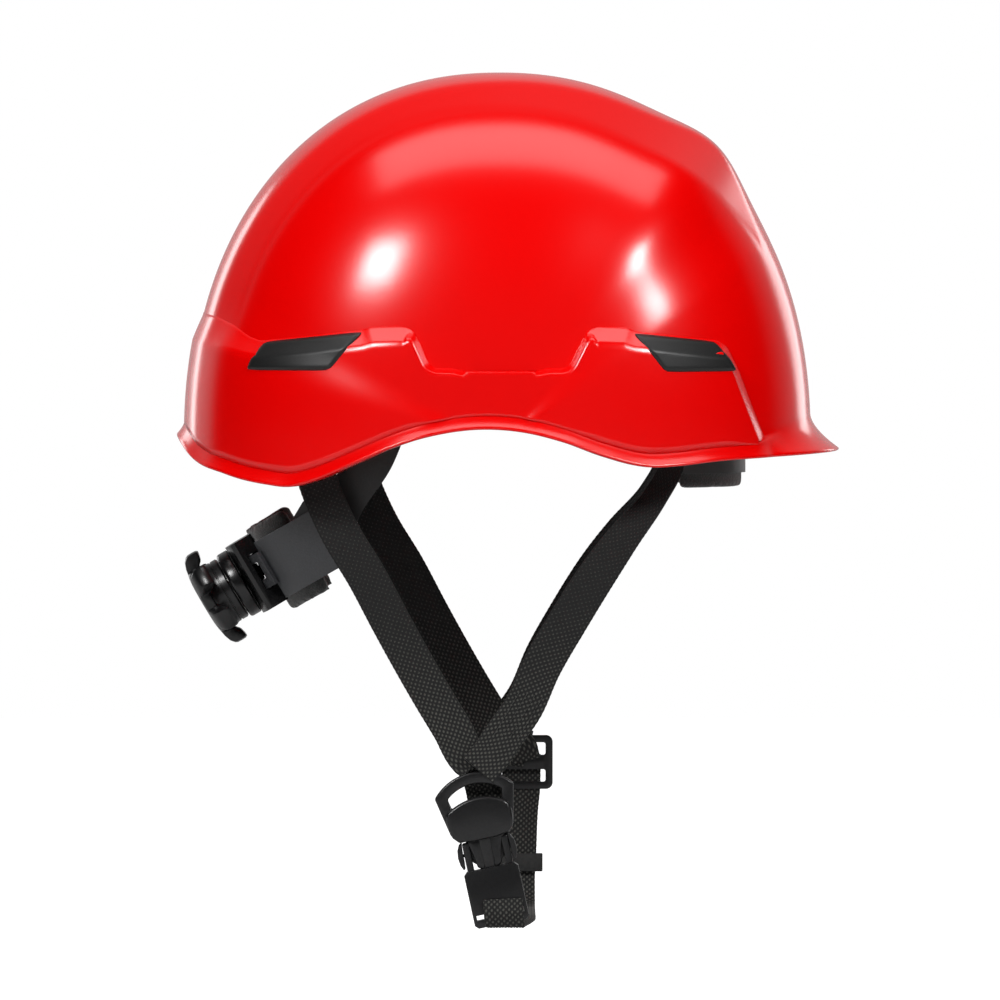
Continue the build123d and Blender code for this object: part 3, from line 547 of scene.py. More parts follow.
for place, corners in CLIP_CORNERS.items():
    low_outer, low_inner, high_inner, high_outer = (np.array(c, float) for c in corners)
    u = np.linspace(0, 1, CLIP_COLUMNS)[None, :, None]
    v = np.linspace(0, 1, CLIP_ROWS)[:, None, None]
    flat = ((low_outer * (1 - u) + low_inner * u) * (1 - v) + (high_outer * (1 - u) + high_inner * u) * v)
    corner_cut = (np.abs(2 * u - 1) ** 8 * np.abs(2 * v - 1) ** 8)[..., 0]
    middle = (low_outer + low_inner + high_inner + high_outer) / 4
    flat = flat - (flat - middle) * 0.05 * corner_cut[..., None]
    crease = 0.4 + 0.16 * u[..., 0]
    height = v[..., 0]
    face = CLIP_FACE - CLIP_LEAN * np.clip((height - crease) / (1 - crease), 0, 1)
    border = np.minimum(np.minimum(u[..., 0], 1 - u[..., 0]) * 22, np.minimum(height, 1 - height) * 9)
    face = face - 0.9 * (1 - np.clip(border, 0, 1)) ** 2
    turn = turn_at(flat[..., 0].ravel(), flat[..., 1].ravel(), BELT_RISE)
    front_face = on_belt(turn, flat[..., 1].ravel(), face.ravel())
    back_face = on_belt(turn, flat[..., 1].ravel(), (face - CLIP_THICK).ravel())
    count = CLIP_ROWS * CLIP_COLUMNS
    faces = grid_faces(CLIP_ROWS, CLIP_COLUMNS)
    faces += [tuple(count + i for i in reversed(f)) for f in faces]
    ring = (list(range(CLIP_COLUMNS)) + [r * CLIP_COLUMNS + CLIP_COLUMNS - 1 for r in range(1, CLIP_ROWS)]
            + [(CLIP_ROWS - 1) * CLIP_COLUMNS + c for c in range(CLIP_COLUMNS - 2, -1, -1)]
            + [r * CLIP_COLUMNS for r in range(CLIP_ROWS - 2, 0, -1)])
    faces += [(ring[i], ring[i - 1], count + ring[i - 1], count + ring[i]) for i in range(len(ring))]
    for side, side_name in ((1, "left"), (-1, "right")):
        points = np.concatenate([front_face, back_face]) * np.array([1, side, 1])
        clip = mesh_object(f"clip_plate_{place}_{side_name}", points.tolist(), faces, clip_nylon)
        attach(clip, f"clip_{place}_{side_name}")
        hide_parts(f"lamp_clip_{place}_{side_name}")

# ---- Nape cradle -------------------------------------------------------------------------------
# Two moulded rack arms slide through a ratchet housing at the nape. Thin hangers carry them from
# pins on the headband. All are nylon mouldings with radiused edges, snapped together.
ARM_EDGE = 0.5
HOUSING_EDGE = 1.1
PIN_EDGE = 0.6


def softened(node, edge, material, segments=3):
    """A copy of one frame piece with its sharp edges rounded to a radius, riding where the piece rides."""
    source = frame["nodes"][node]
    mesh = source.data.copy()
    piece = bpy.data.objects.new(f"moulded_{node}", mesh)
    bpy.context.scene.collection.objects.link(piece)
    work = bmesh.new()
    work.from_mesh(mesh)
    bmesh.ops.remove_doubles(work, verts=work.verts, dist=2e-6)
    bmesh.ops.dissolve_limit(work, angle_limit=math.radians(1.5), verts=work.verts, edges=work.edges)
    bmesh.ops.recalc_face_normals(work, faces=work.faces)
    work.to_mesh(mesh)
    work.free()
    mesh.materials.clear()
    mesh.materials.append(material)
    bevel = piece.modifiers.new("radius", "BEVEL")
    bevel.width = edge * MM
    bevel.segments = segments
    bevel.limit_method = "ANGLE"
    bevel.angle_limit = math.radians(28)
    bevel.use_clamp_overlap = True
    settle(piece)
    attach(piece, source["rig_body"])
    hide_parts(node)
    return piece


def settle(piece):
    """Applies a piece's modifiers and shades it smooth with its sharp edges kept."""
    bpy.context.view_layer.update()
    graph = bpy.context.evaluated_depsgraph_get()
    done = bpy.data.meshes.new_from_object(piece.evaluated_get(graph))
    piece.modifiers.clear()
    piece.data = done
    work = bmesh.new()
    work.from_mesh(done)
    bmesh.ops.triangulate(work, faces=[f for f in work.faces if len(f.verts) > 4])
    for face in work.faces:
        face.smooth = True
    for seam in work.edges:
        seam.smooth = len(seam.link_faces) == 2 and seam.calc_face_angle(0) < math.radians(34)
    work.to_mesh(done)
    work.free()


# Grey nylon, satin from an eroded tool; it separates the arms from the black parts round them.
arm_nylon = moulded("satin grey nylon", "2E2F31", "393A3D", 0.42, 1500.0, 0.15)
# Black nylon with a smoother face, so its rounded edges catch thin bright lines.
smooth_nylon = moulded("smooth black nylon", "0C0C0D", "141415", 0.26, 900.0, 0.05)
# Black polyethylene of the inner cradle: softer and more matt than the nylon.
cradle_plastic = moulded("matt polyethylene", "151515", "1E1E1E", 0.5, 1100.0, 0.12)

for side_name in ("left", "right"):
    softened(f"nape_arm_{side_name}", ARM_EDGE, arm_nylon)
    softened(f"nape_hanger_{side_name}", ARM_EDGE, cradle_plastic)
    softened(f"hanger_pin_{side_name}", PIN_EDGE, cradle_plastic)
softened("ratchet_housing", HOUSING_EDGE, smooth_nylon)
softened("ratchet_collar", 0.7, smooth_nylon)
softened("pinion", 0.2, smooth_nylon)
softened("knob_cap", 0.6, smooth_nylon)
# Rolled spring steel, bright along the coil and slightly dulled by handling.
spring, spring_tree, spring_shader = new_material("rolled spring steel", Metallic=1.0, Roughness=0.3)
spring_place = add_node(spring_tree, "ShaderNodeTexCoord")
spring_wear = add_node(spring_tree, "ShaderNodeTexNoise", [("Vector", spring_place.outputs["Object"])],
                       Scale=400.0)
spring_tone = add_node(spring_tree, "ShaderNodeValToRGB", [("Fac", spring_wear.outputs["Fac"])])
spring_tone.color_ramp.elements[0].color = linear("8C8C8A")
spring_tone.color_ramp.elements[1].color = linear("B4B4B0")
spring_tree.links.new(spring_tone.outputs["Color"], spring_shader.inputs["Base Color"])
softened("detent_spring", 0.3, spring)

# ---- Ratchet knob ------------------------------------------------------------------------------
# The adjusting knob: a glossy black moulding with a plain hub and six finger lobes that curl back
# over it, turned on the pinion's shaft. Its end face is slightly domed round a pressed-in cap.
KNOB_FOOT = 86.3
KNOB_COLUMNS = 216
LOBES = 6
LOBE_REACH = 5.9
nape_centre = np.array([-43.3, 0, -20.9])
NAPE_TILT = math.radians(30.5)
nape_fall = np.array([-math.cos(NAPE_TILT), 0, -math.sin(NAPE_TILT)])
nape_rise = np.array([-math.sin(NAPE_TILT), 0, math.cos(NAPE_TILT)])
sideways = np.array([0, -1.0, 0])

theta = np.linspace(0, 2 * math.pi, KNOB_COLUMNS, endpoint=False)
lobe = smooth_step(0.5 + 0.5 * np.cos(LOBES * theta), 0.3, 0.62)
edge_radius = 16.2 + LOBE_REACH * lobe
# Each ring of the knob from its face to its bore: radius and height over the hub's foot.
knob_rings = [
    (4.25, 12.7), (4.3, 14.2), (4.8, 14.75), (7.5, 14.9), (10.5, 14.8), (13.0, 14.5), (14.6, 14.15),
    (0.35 * edge_radius + 9.4, 13.9 - 0.2 * lobe), (0.7 * edge_radius + 4.4, 13.2 - 0.5 * lobe),
    (0.93 * edge_radius + 1.0, 12.2 - 0.9 * lobe), (edge_radius, 11.2 - 1.0 * lobe),
    (edge_radius + 0.1, 10.4 - 2.4 * lobe),
    (edge_radius, 9.8 - 3.6 * lobe), (edge_radius - 0.5, 9.4 - 4.1 * lobe),
    (edge_radius - 1.6, 9.3 - 3.9 * lobe),
    (edge_radius - 2.2 - 1.6 * lobe, 9.4 - 3.5 * lobe), (0.4 * edge_radius + 8.5, 9.3 - 2.9 * lobe),
    (15.0, 9.0), (14.6, 8.2),
    (14.5, 6.5), (14.5, 3.9), (14.1, 3.7), (14.1, 3.3), (14.5, 3.1), (14.5, 0.7), (13.9, 0.0), (8.0, 0.0),
    (2.7, 0.0), (2.6, 5.3)]
knob_points = []
for radius, height in knob_rings:
    ring = (nape_centre + nape_fall * (KNOB_FOOT + np.broadcast_to(height, theta.shape)[:, None])
            + (nape_rise * np.cos(theta)[:, None] + sideways * np.sin(theta)[:, None])
            * np.broadcast_to(radius, theta.shape)[:, None])
    knob_points += ring.tolist()
knob_faces = grid_faces(len(knob_rings), KNOB_COLUMNS, wrap=True)
knob_faces.append(tuple(range(KNOB_COLUMNS - 1, -1, -1)))
knob_faces.append(tuple(range((len(knob_rings) - 1) * KNOB_COLUMNS, len(knob_rings) * KNOB_COLUMNS)))
# Polished black nylon: the glossiest dark part, with a faint unevenness that breaks its highlights.
knob_nylon = moulded("glossy black nylon", "0D0D0E", "161617", 0.3, 300.0, 0.05)
knob = mesh_object("knob_lobed", knob_points, knob_faces, knob_nylon)
settle(knob)
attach(knob, "knob")
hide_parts("ratchet_knob")

# ---- Headband and keys -------------------------------------------------------------------------
# The moulded headband and the six keys that snap it into the shell's pockets. Anchors sewn to the
# webbing lock beside them. These are seen from below and through the gap round the brow.
softened("headband", 0.45, cradle_plastic)
for key in range(1, 7):
    softened(f"suspension_key_{key}", 0.8, cradle_plastic)
for side_name in ("left", "right"):
    for place in ("front", "rear"):
        softened(f"strap_anchor_{place}_{side_name}", 0.6, cradle_plastic)

# ---- Buckle ------------------------------------------------------------------------------------
# A side-release buckle in black acetal: an arched frame that the yoke webbing loops through, two
# sprung prongs, and the socket that the chin webbing loops through.
buckle_acetal = moulded("black acetal", "101011", "1A1A1B", 0.3, 1000.0, 0.08)
softened("buckle_frame", 1.1, buckle_acetal, 4)
softened("buckle_prong_front", 0.5, buckle_acetal)
softened("buckle_prong_rear", 0.5, buckle_acetal)
softened("buckle_socket", 0.55, buckle_acetal)
softened("left_slider", 0.9, buckle_acetal)

BUCKLE_MIDDLE = np.array([-5.2, -78.3, -179.4])
BUCKLE_TILT = math.radians(12.2)
buckle_across = np.array([math.cos(BUCKLE_TILT), 0, math.sin(BUCKLE_TILT)])
buckle_up = np.array([-math.sin(BUCKLE_TILT), 0, math.cos(BUCKLE_TILT)])


def flat_part(name, outline, low, high, edge):
    """A moulded plate in the buckle's plane, from an outline of (across, up), between two depths."""
    outline = rounded(np.array(list(outline) + [outline[0]], float), 1)[:-1]
    points = [BUCKLE_MIDDLE + buckle_across * x + buckle_up * y + np.array([0, -depth, 0])
              for depth in (low, high) for x, y in outline]
    count = len(outline)
    faces = [tuple(range(count - 1, -1, -1)), tuple(range(count, 2 * count))]
    faces += [(i, (i + 1) % count, count + (i + 1) % count, count + i) for i in range(count)]
    piece = mesh_object(name, points, faces, buckle_acetal)
    bevel = piece.modifiers.new("radius", "BEVEL")
    bevel.width = edge * MM
    bevel.segments = 4
    bevel.limit_method = "ANGLE"
    bevel.angle_limit = math.radians(40)
    settle(piece)
    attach(piece, "root")
    return piece


cover = [(x, 21.5 + 4.6 * (1 - (x / 14.2) ** 2)) for x in np.linspace(-14.2, 14.2, 15)]
cover += [(14.6, 18), (14.3, 14), (13.5, 10.5), (11.8, 8), (8, 7.4),
          (-8, 7.4), (-11.8, 8), (-13.6, 10.5), (-14.5, 14), (-14.8, 18)]
flat_part("buckle_cover", cover, 1.6, 4.4, 1.5)
waist = [(10.6, 9.0), (8.8, 7.6), (6.8, 6.2), (6.5, 2.4), (5.7, -1.4), (5.3, -4.0), (5.3, -6.5)]
flat_part("buckle_tongue", waist + [(-x, y) for x, y in reversed(waist)], -1.7, 1.9, 0.7)
back = [(11.2, 9), (11.4, 2), (10.4, -4.6), (-10.4, -4.6), (-11.4, 2), (-11.2, 9)]
flat_part("buckle_back", back, -3.2, -2.3, 0.3)
ear = [(9.8, 8.4), (11.6, 8.0), (12.8, 5.0), (13.2, 1.6), (12.8, -1.8), (11.5, -4.7), (10.4, -4.7), (10.5, 0),
       (10.4, 4), (10.3, 7)]
for hand, hand_name in ((-1, "rear"), (1, "front")):
    flat_part(f"buckle_ear_{hand_name}", [(hand * x, y) for x, y in ear], -1.6, 1.8, 0.5)

# ---- Yoke webbing ------------------------------------------------------------------------------
# Coarse black polyester webbing, woven flat. On each side a rear and a front strap fall from the
# shell and meet at the cheek; the rear one loops through the buckle's arch and is sewn to itself.
WEB_WIDTH = 17.2
WEB_THICK = 1.3
WEFT_PITCH = 2.4
WARP_PITCH = 1.25
RELIEF = 0.34
WEB_STEP = 0.6
WEB_ACROSS = 58

# Spun polyester: near-black and matt, with a random fuzz tone. Painted highlight on the thread crowns and
# painted shade between them, taken from the weave's relief; a painted glint makes the lower straps lighter.
polyester, web_tree, web_shader = new_material(
    "woven black polyester webbing", Roughness=0.85, Sheen_Weight=0.08, Sheen_Roughness=0.4)
web_place = add_node(web_tree, "ShaderNodeTexCoord")
web_height = add_node(web_tree, "ShaderNodeAttribute", attribute_name="relief")
web_fuzz = add_node(web_tree, "ShaderNodeTexNoise", [("Vector", web_place.outputs["Object"])],
                    Scale=2600.0, Detail=3.0)
web_sum = add_node(web_tree, "ShaderNodeMath", [(0, web_height.outputs["Fac"]), (1, web_fuzz.outputs["Fac"])],
                   operation="MULTIPLY")
web_parts = add_node(web_tree, "ShaderNodeSeparateXYZ", [("Vector", web_place.outputs["Object"])])
# Painted glint, not wear: the weave's painted light is scaled up towards the straps' lower parts and down
# towards their tops.
web_painted_glint = add_node(web_tree, "ShaderNodeMapRange", [("Value", web_parts.outputs["Z"])])
web_painted_glint.inputs["From Min"].default_value = -0.125
web_painted_glint.inputs["From Max"].default_value = -0.07
web_painted_glint.inputs["To Min"].default_value = 1.25
web_painted_glint.inputs["To Max"].default_value = 0.6
web_shade = add_node(web_tree, "ShaderNodeMath",
                     [(0, web_sum.outputs["Value"]), (1, web_painted_glint.outputs["Result"])], operation="MULTIPLY")
web_tone = add_node(web_tree, "ShaderNodeValToRGB", [("Fac", web_shade.outputs["Value"])])
web_tone.color_ramp.elements[0].position = 0.16
web_tone.color_ramp.elements[1].position = 0.52
web_tone.color_ramp.elements[0].color = linear("070707")
web_tone.color_ramp.elements[1].color = linear("4E4E49")
web_tree.links.new(web_tone.outputs["Color"], web_shader.inputs["Base Color"])
web_fibre = add_node(web_tree, "ShaderNodeBump", [("Height", web_fuzz.outputs["Fac"])],
                     Strength=0.4, Distance=0.0002)
web_tree.links.new(web_fibre.outputs["Normal"], web_shader.inputs["Normal"])


def even_line(points, step):
    """A smooth line through points of any width, resampled at even steps."""
    points = np.asarray(points, float)
    spans = np.r_[0, np.cumsum(np.linalg.norm(np.diff(points[:, :3], axis=0), axis=1))]
    fine = np.linspace(0, spans[-1], max(int(spans[-1] / 0.2), 8))
    line = np.stack([smooth_path(fine, spans, points[:, i]) for i in range(points.shape[1])], axis=1)
    reach = np.r_[0, np.cumsum(np.linalg.norm(np.diff(line[:, :3], axis=0), axis=1))]
    even = np.linspace(0, reach[-1], max(int(reach[-1] / step), 4) + 1)
    return np.stack([np.interp(even, reach, line[:, i]) for i in range(line.shape[1])], axis=1), even


def webbing(name, points, facing, width=WEB_WIDTH):
    """A woven strap along points (x, y, z, twist in degrees), its broad face towards facing."""
    line, spans = even_line(points, WEB_STEP)
    middle = line[:, :3]
    forward = np.gradient(middle, axis=0)
    forward /= np.linalg.norm(forward, axis=1, keepdims=True)
    face = facing(middle) if callable(facing) else np.broadcast_to(np.asarray(facing, float), middle.shape)
    across = np.cross(forward, face)
    across /= np.linalg.norm(across, axis=1, keepdims=True)
    normal = np.cross(across, forward)
    twist = np.radians(line[:, 3])[:, None]
    across, normal = (across * np.cos(twist) + normal * np.sin(twist),
                      normal * np.cos(twist) - across * np.sin(twist))
    v = np.linspace(-1, 1, WEB_ACROSS)
    edge = np.clip((1 - np.abs(v)) * width / 2 / 0.9, 0, 1) ** 0.5
    weft = np.floor(v * width / 2 / WARP_PITCH + 0.5)
    along_web = spans[:, None] / WEFT_PITCH + 0.5 * weft[None, :]
    warp = np.abs(np.cos(math.pi * v * width / 2 / WARP_PITCH))[None, :]
    relief = np.abs(np.cos(math.pi * along_web)) ** 2.6 * warp**0.7
    half = (WEB_THICK / 2 - RELIEF / 2 + RELIEF * relief) * edge[None, :] * 0.92 + 0.06
    spread = v[None, :] * (width / 2) * (1 + 0.006 * np.cos(2 * math.pi * spans[:, None] / WEFT_PITCH))
    upper = middle[:, None, :] + across[:, None, :] * spread[..., None] + normal[:, None, :] * half[..., None]
    lower = middle[:, None, :] + across[:, None, :] * spread[..., None] - normal[:, None, :] * half[..., None]
    ring = np.concatenate([upper, lower[:, ::-1]], axis=1)
    count = ring.shape[1]
    faces = grid_faces(len(ring), count, wrap=True)
    faces.append(tuple(range(count - 1, -1, -1)))
    faces.append(tuple(range((len(ring) - 1) * count, len(ring) * count)))
    strap = mesh_object(name, ring.reshape(-1, 3), faces, polyester)
    # The weave's height, stored so the webbing's colour can paint a highlight on the thread crowns and painted
    # shade between them.
    heights = np.concatenate([relief, relief[:, ::-1]], axis=1).ravel()
    if len(strap.data.vertices) == len(heights):
        layer = strap.data.attributes.new("relief", "FLOAT", "POINT")
        layer.data.foreach_set("value", heights.astype(np.float32))
    return strap


def cheek(side, x, z, lift=0.0, twist=0.0):
    """A point of the yoke's plane on one side, with the strap's twist; lift is outwards."""
    return (x, side * (73.9 + 0.0246 * abs(z) + lift), z, side * twist)


# The bars that the rear straps loop round, as (x, z), and how much further forward the left straps hang.
BUCKLE_BAR = (-12.5, -145.7)
SLIDER_BAR = (9.5, -143.0)
LEFT_FORWARD = 16.0
REAR_LINE = [(-85, 6), (-78, -20), (-70, -38), (-58, -58), (-47.4, -78), (-38.6, -94), (-30, -109),
             (-21, -124), (-13.5, -137)]
FRONT_LINE = [(76, 6, 40), (74.5, -10, 52), (67, -24, 52), (53, -42, 34), (42.4, -57, 18), (29.2, -78, 5),
              (18.2, -97, 0), (9.5, -116, 0), (2.5, -126, 0), (-3.5, -135, 0)]
for side, side_name in ((-1, "right"), (1, "left")):
    shift = LEFT_FORWARD if side > 0 else 0
    bar_x, bar_z = BUCKLE_BAR if side < 0 else SLIDER_BAR
    points = [cheek(side, x + shift, z) for x, z in REAR_LINE]
    if side < 0:
        points += [cheek(side, bar_x + 2.2, bar_z + 6.0, 0.6), cheek(side, bar_x + 3.8, bar_z + 2.6, -1.9),
                   cheek(side, bar_x + 5.4, bar_z - 2.0, -3.8), cheek(side, bar_x + 7.6, bar_z - 13.0, -4.0)]
    else:
        points += [cheek(side, bar_x - 2.0, bar_z + 4.6, 0.8), cheek(side, bar_x, bar_z - 2.0, 1.6)]
    rear_web = webbing(f"yoke_rear_{side_name}", points, (0, side, 0))
    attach(rear_web, "root")
    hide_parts(f"rear_strap_{side_name}")
    points = [cheek(side, x + shift * 0.14 * min(1, -z / 134) * (z < 0), z, 1.9, twist)
              for x, z, twist in FRONT_LINE]
    points.append(cheek(side, bar_x + 3.0, bar_z + 3.6, 3.3))
    front_web = webbing(f"yoke_front_{side_name}", points, (0, side, 0))
    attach(front_web, "root")
    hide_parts(f"front_strap_{side_name}")

# ---- Chin webbing ------------------------------------------------------------------------------
# One length of the same webbing runs from the buckle's socket under the chin to the slider on the
# wearer's left. A rubber keeper rides on it below the slider.
CHIN_X = 7.0
CHIN_LOW = -208.8
CHIN_BEND = 12.0
CHIN_SIDE = 82.1
SOCKET_DROP = 28.0
socket_x = -5.2 + SOCKET_DROP * math.sin(BUCKLE_TILT)
socket_z = -179.4 - SOCKET_DROP * math.cos(BUCKLE_TILT)

chin_points = [(socket_x + 0.5, -84.6, socket_z + 9, 0), (socket_x + 0.9, -84.8, socket_z + 2, 0),
               (socket_x + 1.5, -82.5, socket_z - 2.6, 0), (socket_x + 2.2, -76, socket_z - 2.8, 0),
               (CHIN_X - 1, -60, CHIN_LOW, 0), (CHIN_X, -30, CHIN_LOW, 0), (CHIN_X, 0, CHIN_LOW, 0),
               (CHIN_X, 40, CHIN_LOW, 0)]
for share in np.linspace(0, 1, 7):
    angle = share * math.pi / 2
    chin_points.append((CHIN_X, CHIN_SIDE - CHIN_BEND + CHIN_BEND * math.sin(angle),
                        CHIN_LOW + CHIN_BEND - CHIN_BEND * math.cos(angle), 0))
chin_points += [(CHIN_X + 0.6, CHIN_SIDE, -185, 0), (CHIN_X + 1.5, CHIN_SIDE, -165, 0),
                (9.3, CHIN_SIDE, -157, 0), (9.5, 83.6, -152, 0), (9.5, 84.4, -147, 0), (9.5, 84.3, -141.5, 0)]


def chin_facing(middle):
    """The chin webbing's broad face turns from the right cheek, under the chin, to the left one."""
    forward = np.gradient(middle, axis=0)
    forward /= np.linalg.norm(forward, axis=1, keepdims=True)
    return np.cross(forward, np.array([1.0, 0, 0]))


chin_web = webbing("chin_webbing", chin_points, chin_facing)
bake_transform(chin_web)
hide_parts("chin_strap")

# ---- Stitching ---------------------------------------------------------------------------------
# Bar tacks sewn where the front strap crosses the rear one: short rows of polyester thread, each stitch sunk
# at its ends.
STITCH_PITCH = 2.0
STITCH_LONG = 1.5
THREAD_RADIUS = 0.17
STITCH_LIFT = 2.62


def stitch_tool():
    """A Geometry Nodes group that lays stitches along the edges of a mesh, turned to its 'up' vectors."""
    group = bpy.data.node_groups.new("stitches along lines", "GeometryNodeTree")
    face = group.interface
    face.new_socket("Geometry", in_out="INPUT", socket_type="NodeSocketGeometry")
    for label in ("Pitch", "Stitch Length", "Thread Radius"):
        face.new_socket(label, in_out="INPUT", socket_type="NodeSocketFloat")
    face.new_socket("Thread", in_out="INPUT", socket_type="NodeSocketMaterial")
    face.new_socket("Geometry", in_out="OUTPUT", socket_type="NodeSocketGeometry")
    given = group.nodes.new("NodeGroupInput").outputs
    lines = add_node(group, "GeometryNodeMeshToCurve", [("Mesh", given["Geometry"])])
    spots = add_node(group, "GeometryNodeResampleCurve",
                     [("Curve", lines.outputs["Curve"]), ("Length", given["Pitch"])], mode="LENGTH")
    half = add_node(group, "ShaderNodeMath", [(0, given["Stitch Length"])], operation="MULTIPLY")
    half.inputs[1].default_value = 0.5
    back = add_node(group, "ShaderNodeMath", [(0, half.outputs[0])], operation="MULTIPLY")
    back.inputs[1].default_value = -1.0
    rise = add_node(group, "ShaderNodeMath", [(0, given["Thread Radius"])], operation="MULTIPLY")
    rise.inputs[1].default_value = 3.0
    ends = [add_node(group, "ShaderNodeCombineXYZ", [("X", reach.outputs[0])]) for reach in (back, half)]
    middle = add_node(group, "ShaderNodeCombineXYZ", [("Z", rise.outputs[0])])
    bend = add_node(group, "GeometryNodeCurveQuadraticBezier",
                    [("Start", ends[0].outputs[0]), ("Middle", middle.outputs[0]),
                     ("End", ends[1].outputs[0])], Resolution=6)
    round_thread = add_node(group, "GeometryNodeCurvePrimitiveCircle", [("Radius", given["Thread Radius"])],
                            Resolution=7)
    stitch = add_node(group, "GeometryNodeCurveToMesh",
                      [("Curve", bend.outputs[0]), ("Profile Curve", round_thread.outputs[0])])
    stitch.inputs["Fill Caps"].default_value = True
    up = add_node(group, "GeometryNodeInputNamedAttribute", data_type="FLOAT_VECTOR", Name="up")
    way = group.nodes.new("GeometryNodeInputTangent")
    stand = add_node(group, "FunctionNodeAlignRotationToVector",
                     [("Vector", up.outputs["Attribute"])], axis="Z")
    turn = add_node(group, "FunctionNodeAlignRotationToVector",
                    [("Rotation", stand.outputs[0]), ("Vector", way.outputs[0])], axis="X", pivot_axis="Z")
    laid = add_node(group, "GeometryNodeInstanceOnPoints",
                    [("Points", spots.outputs[0]), ("Instance", stitch.outputs[0]),
                     ("Rotation", turn.outputs[0])])
    real = add_node(group, "GeometryNodeRealizeInstances", [("Geometry", laid.outputs[0])])
    dyed = add_node(group, "GeometryNodeSetMaterial",
                    [("Geometry", real.outputs[0]), ("Material", given["Thread"])])
    out = group.nodes.new("NodeGroupOutput")
    group.links.new(dyed.outputs[0], out.inputs["Geometry"])
    return group


def sewn(name, rows, up, thread):
    """Stitches along rows of points, standing on a surface that faces up."""
    points = [p for row in rows for p in row]
    mesh = bpy.data.meshes.new(name)
    edges, at = [], 0
    for row in rows:
        edges += [(at + i, at + i + 1) for i in range(len(row) - 1)]
        at += len(row)
    mesh.from_pydata([tuple(c * MM for c in p) for p in points], edges, [])
    layer = mesh.attributes.new("up", "FLOAT_VECTOR", "POINT")
    layer.data.foreach_set("vector", np.tile(np.asarray(up, np.float32), len(points)))
    piece = bpy.data.objects.new(name, mesh)
    bpy.context.scene.collection.objects.link(piece)
    layer_tool = piece.modifiers.new("stitches", "NODES")
    layer_tool.node_group = STITCHES
    sizes = {"Pitch": STITCH_PITCH * MM, "Stitch Length": STITCH_LONG * MM,
             "Thread Radius": THREAD_RADIUS * MM, "Thread": thread}
    for item in STITCHES.interface.items_tree:
        if item.in_out == "INPUT" and item.name in sizes:
            layer_tool[item.identifier] = sizes[item.name]
    settle(piece)
    return piece


STITCHES = stitch_tool()
# Twisted sewing thread: glossier than the webbing, so each stitch shows as a small light bar.
sewing_thread = moulded("twisted polyester thread", "1C1C1B", "3A3A38", 0.5, 4000.0, 0.3)

for side, side_name in ((-1, "right"), (1, "left")):
    shift = LEFT_FORWARD if side > 0 else 0
    rows = []
    for row in range(4):
        offset = (row - 1.5) * 3.4
        start = (13.0 + shift * 0.12 + offset, -110 - offset * 0.2)
        end = (3.0 + shift * 0.13 + offset, -127 - offset * 0.2)
        rows.append([cheek(side, start[0] + (end[0] - start[0]) * t,
                           start[1] + (end[1] - start[1]) * t, STITCH_LIFT)[:3] for t in np.linspace(0, 1, 5)])
    tack = sewn(f"yoke_stitches_{side_name}", rows, (0, side, 0.0246), sewing_thread)
    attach(tack, "root")

# ---- Pads --------------------------------------------------------------------------------------
# Three soft pads: at the brow, at the nape and under the crown straps. Each is foam sewn into a
# brushed knit cover, so it swells between its edges.
PAD_VOXEL = 1.6
PAD_PRESSURE = 4.0
PAD_MOMENTS = 20

# Brushed polyester knit over foam: dark, matt, with fine loops and a soft pale sheen at the edges.
knit, knit_tree, knit_shader = new_material(
    "brushed polyester knit", Roughness=0.92, Sheen_Weight=0.3, Sheen_Roughness=0.5)
knit_place = add_node(knit_tree, "ShaderNodeTexCoord")
knit_loops = add_node(knit_tree, "ShaderNodeTexVoronoi", [("Vector", knit_place.outputs["Object"])],
                      Scale=1300.0)
knit_haze = add_node(knit_tree, "ShaderNodeTexNoise", [("Vector", knit_place.outputs["Object"])],
                     Scale=120.0, Detail=4.0)
knit_mix = add_node(knit_tree, "ShaderNodeMath",
                    [(0, knit_loops.outputs["Distance"]), (1, knit_haze.outputs["Fac"])], operation="MULTIPLY")
knit_tone = add_node(knit_tree, "ShaderNodeValToRGB", [("Fac", knit_mix.outputs["Value"])])
knit_tone.color_ramp.elements[0].color = linear("191A19")
knit_tone.color_ramp.elements[1].color = linear("3A3C3A")
knit_tree.links.new(knit_tone.outputs["Color"], knit_shader.inputs["Base Color"])
knit_bump = add_node(knit_tree, "ShaderNodeBump", [("Height", knit_loops.outputs["Distance"])],
                     Strength=0.5, Distance=0.0004)
knit_tree.links.new(knit_bump.outputs["Normal"], knit_shader.inputs["Normal"])


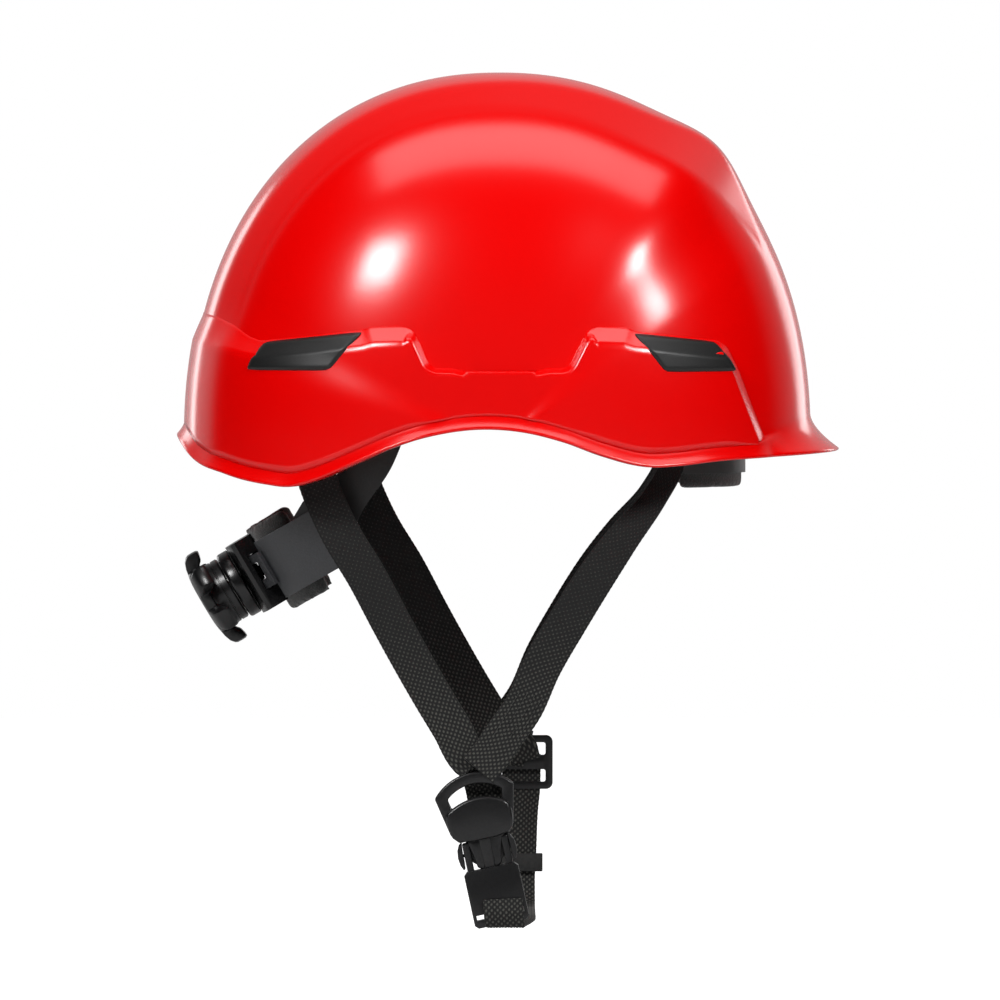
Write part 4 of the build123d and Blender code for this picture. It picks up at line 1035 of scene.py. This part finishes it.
def puffed(node, limit):
    """A soft copy of a pad: its skin inflated by a short cloth run, no further than limit millimetres."""
    source = frame["nodes"][node]
    mesh = source.data.copy()
    piece = bpy.data.objects.new(f"soft_{node}", mesh)
    bpy.context.scene.collection.objects.link(piece)
    mesh.materials.clear()
    mesh.materials.append(knit)
    weld = bmesh.new()
    weld.from_mesh(mesh)
    bmesh.ops.remove_doubles(weld, verts=weld.verts, dist=1e-6)
    weld.to_mesh(mesh)
    weld.free()
    skin = piece.modifiers.new("skin", "REMESH")
    skin.mode = "VOXEL"
    skin.voxel_size = PAD_VOXEL * MM
    settle(piece)
    before = np.array([v.co[:] for v in piece.data.vertices])
    cloth = piece.modifiers.new("cloth", "CLOTH")
    cloth.settings.use_pressure = True
    cloth.settings.uniform_pressure_force = PAD_PRESSURE
    cloth.settings.effector_weights.gravity = 0
    cloth.settings.quality = 5
    cloth.point_cache.frame_start = 1
    cloth.point_cache.frame_end = PAD_MOMENTS
    scene = bpy.context.scene
    for moment in range(1, PAD_MOMENTS + 1):
        scene.frame_set(moment)
    settle(piece)
    after = np.array([v.co[:] for v in piece.data.vertices])
    scene.frame_set(1)
    shift = after - before
    reach = np.linalg.norm(shift, axis=1, keepdims=True)
    after = before + shift * np.minimum(1, limit * MM / np.maximum(reach, 1e-9))
    piece.data.vertices.foreach_set("co", after.ravel())
    smooth = piece.modifiers.new("ease", "SMOOTH")
    smooth.factor = 0.6
    smooth.iterations = 4
    round_off = piece.modifiers.new("round", "SUBSURF")
    round_off.levels = 1
    settle(piece)
    for polygon in piece.data.polygons:
        polygon.use_smooth = True
    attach(piece, source["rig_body"])
    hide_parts(node)
    return piece


puffed("brow_pad", 1.2)
puffed("nape_pad", 1.0)
puffed("crown_pad", 1.0)

# ---- Crown straps and keeper -------------------------------------------------------------------
# Three lighter straps of the same webbing cross over the wearer's crown from key to key, and a
# small moulded rubber ring rides on the chin webbing.
CROWN_TOPS = {1: (0, 116.0), 2: (62, 113.8), 3: (118, 111.6)}
CROWN_WIDTH = 17.0
CROWN_HALF = 9.0
CROWN_INSET = 0.6
STRAP_FEET = 26.0

for index, (angle, top) in CROWN_TOPS.items():
    low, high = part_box(f"crown_strap_{index}")
    forward = np.array([math.cos(math.radians(angle)), math.sin(math.radians(angle)), 0])
    if index == 1:
        reach = (high.x / MM - abs(forward[1]) * CROWN_HALF) / abs(forward[0])
    else:
        reach = (high.y / MM - abs(forward[0]) * CROWN_HALF) / abs(forward[1])
    radius = (reach**2 + (top - STRAP_FEET) ** 2) / (2 * (top - STRAP_FEET))
    span = math.asin(min(1, reach / radius))
    if top - STRAP_FEET > radius:
        span = math.pi - span
    points = []
    for turn in np.linspace(-span, span, 41):
        rise = top - radius + (radius - CROWN_INSET) * math.cos(turn)
        spot = forward * (radius - CROWN_INSET) * math.sin(turn) + np.array([0, 0, rise])
        points.append((*spot, 0))
    crown_web = webbing(f"crown_webbing_{index}", points,
                        lambda middle, c=top - radius: middle - np.array([0, 0, c]), CROWN_WIDTH)
    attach(crown_web, "root")
    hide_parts(f"crown_strap_{index}")

# Moulded rubber: dull black, slightly dusty, with soft edges.
keeper_rubber = moulded("moulded rubber", "141414", "222221", 0.7, 700.0, 0.25)
softened("strap_keeper", 0.6, keeper_rubber)
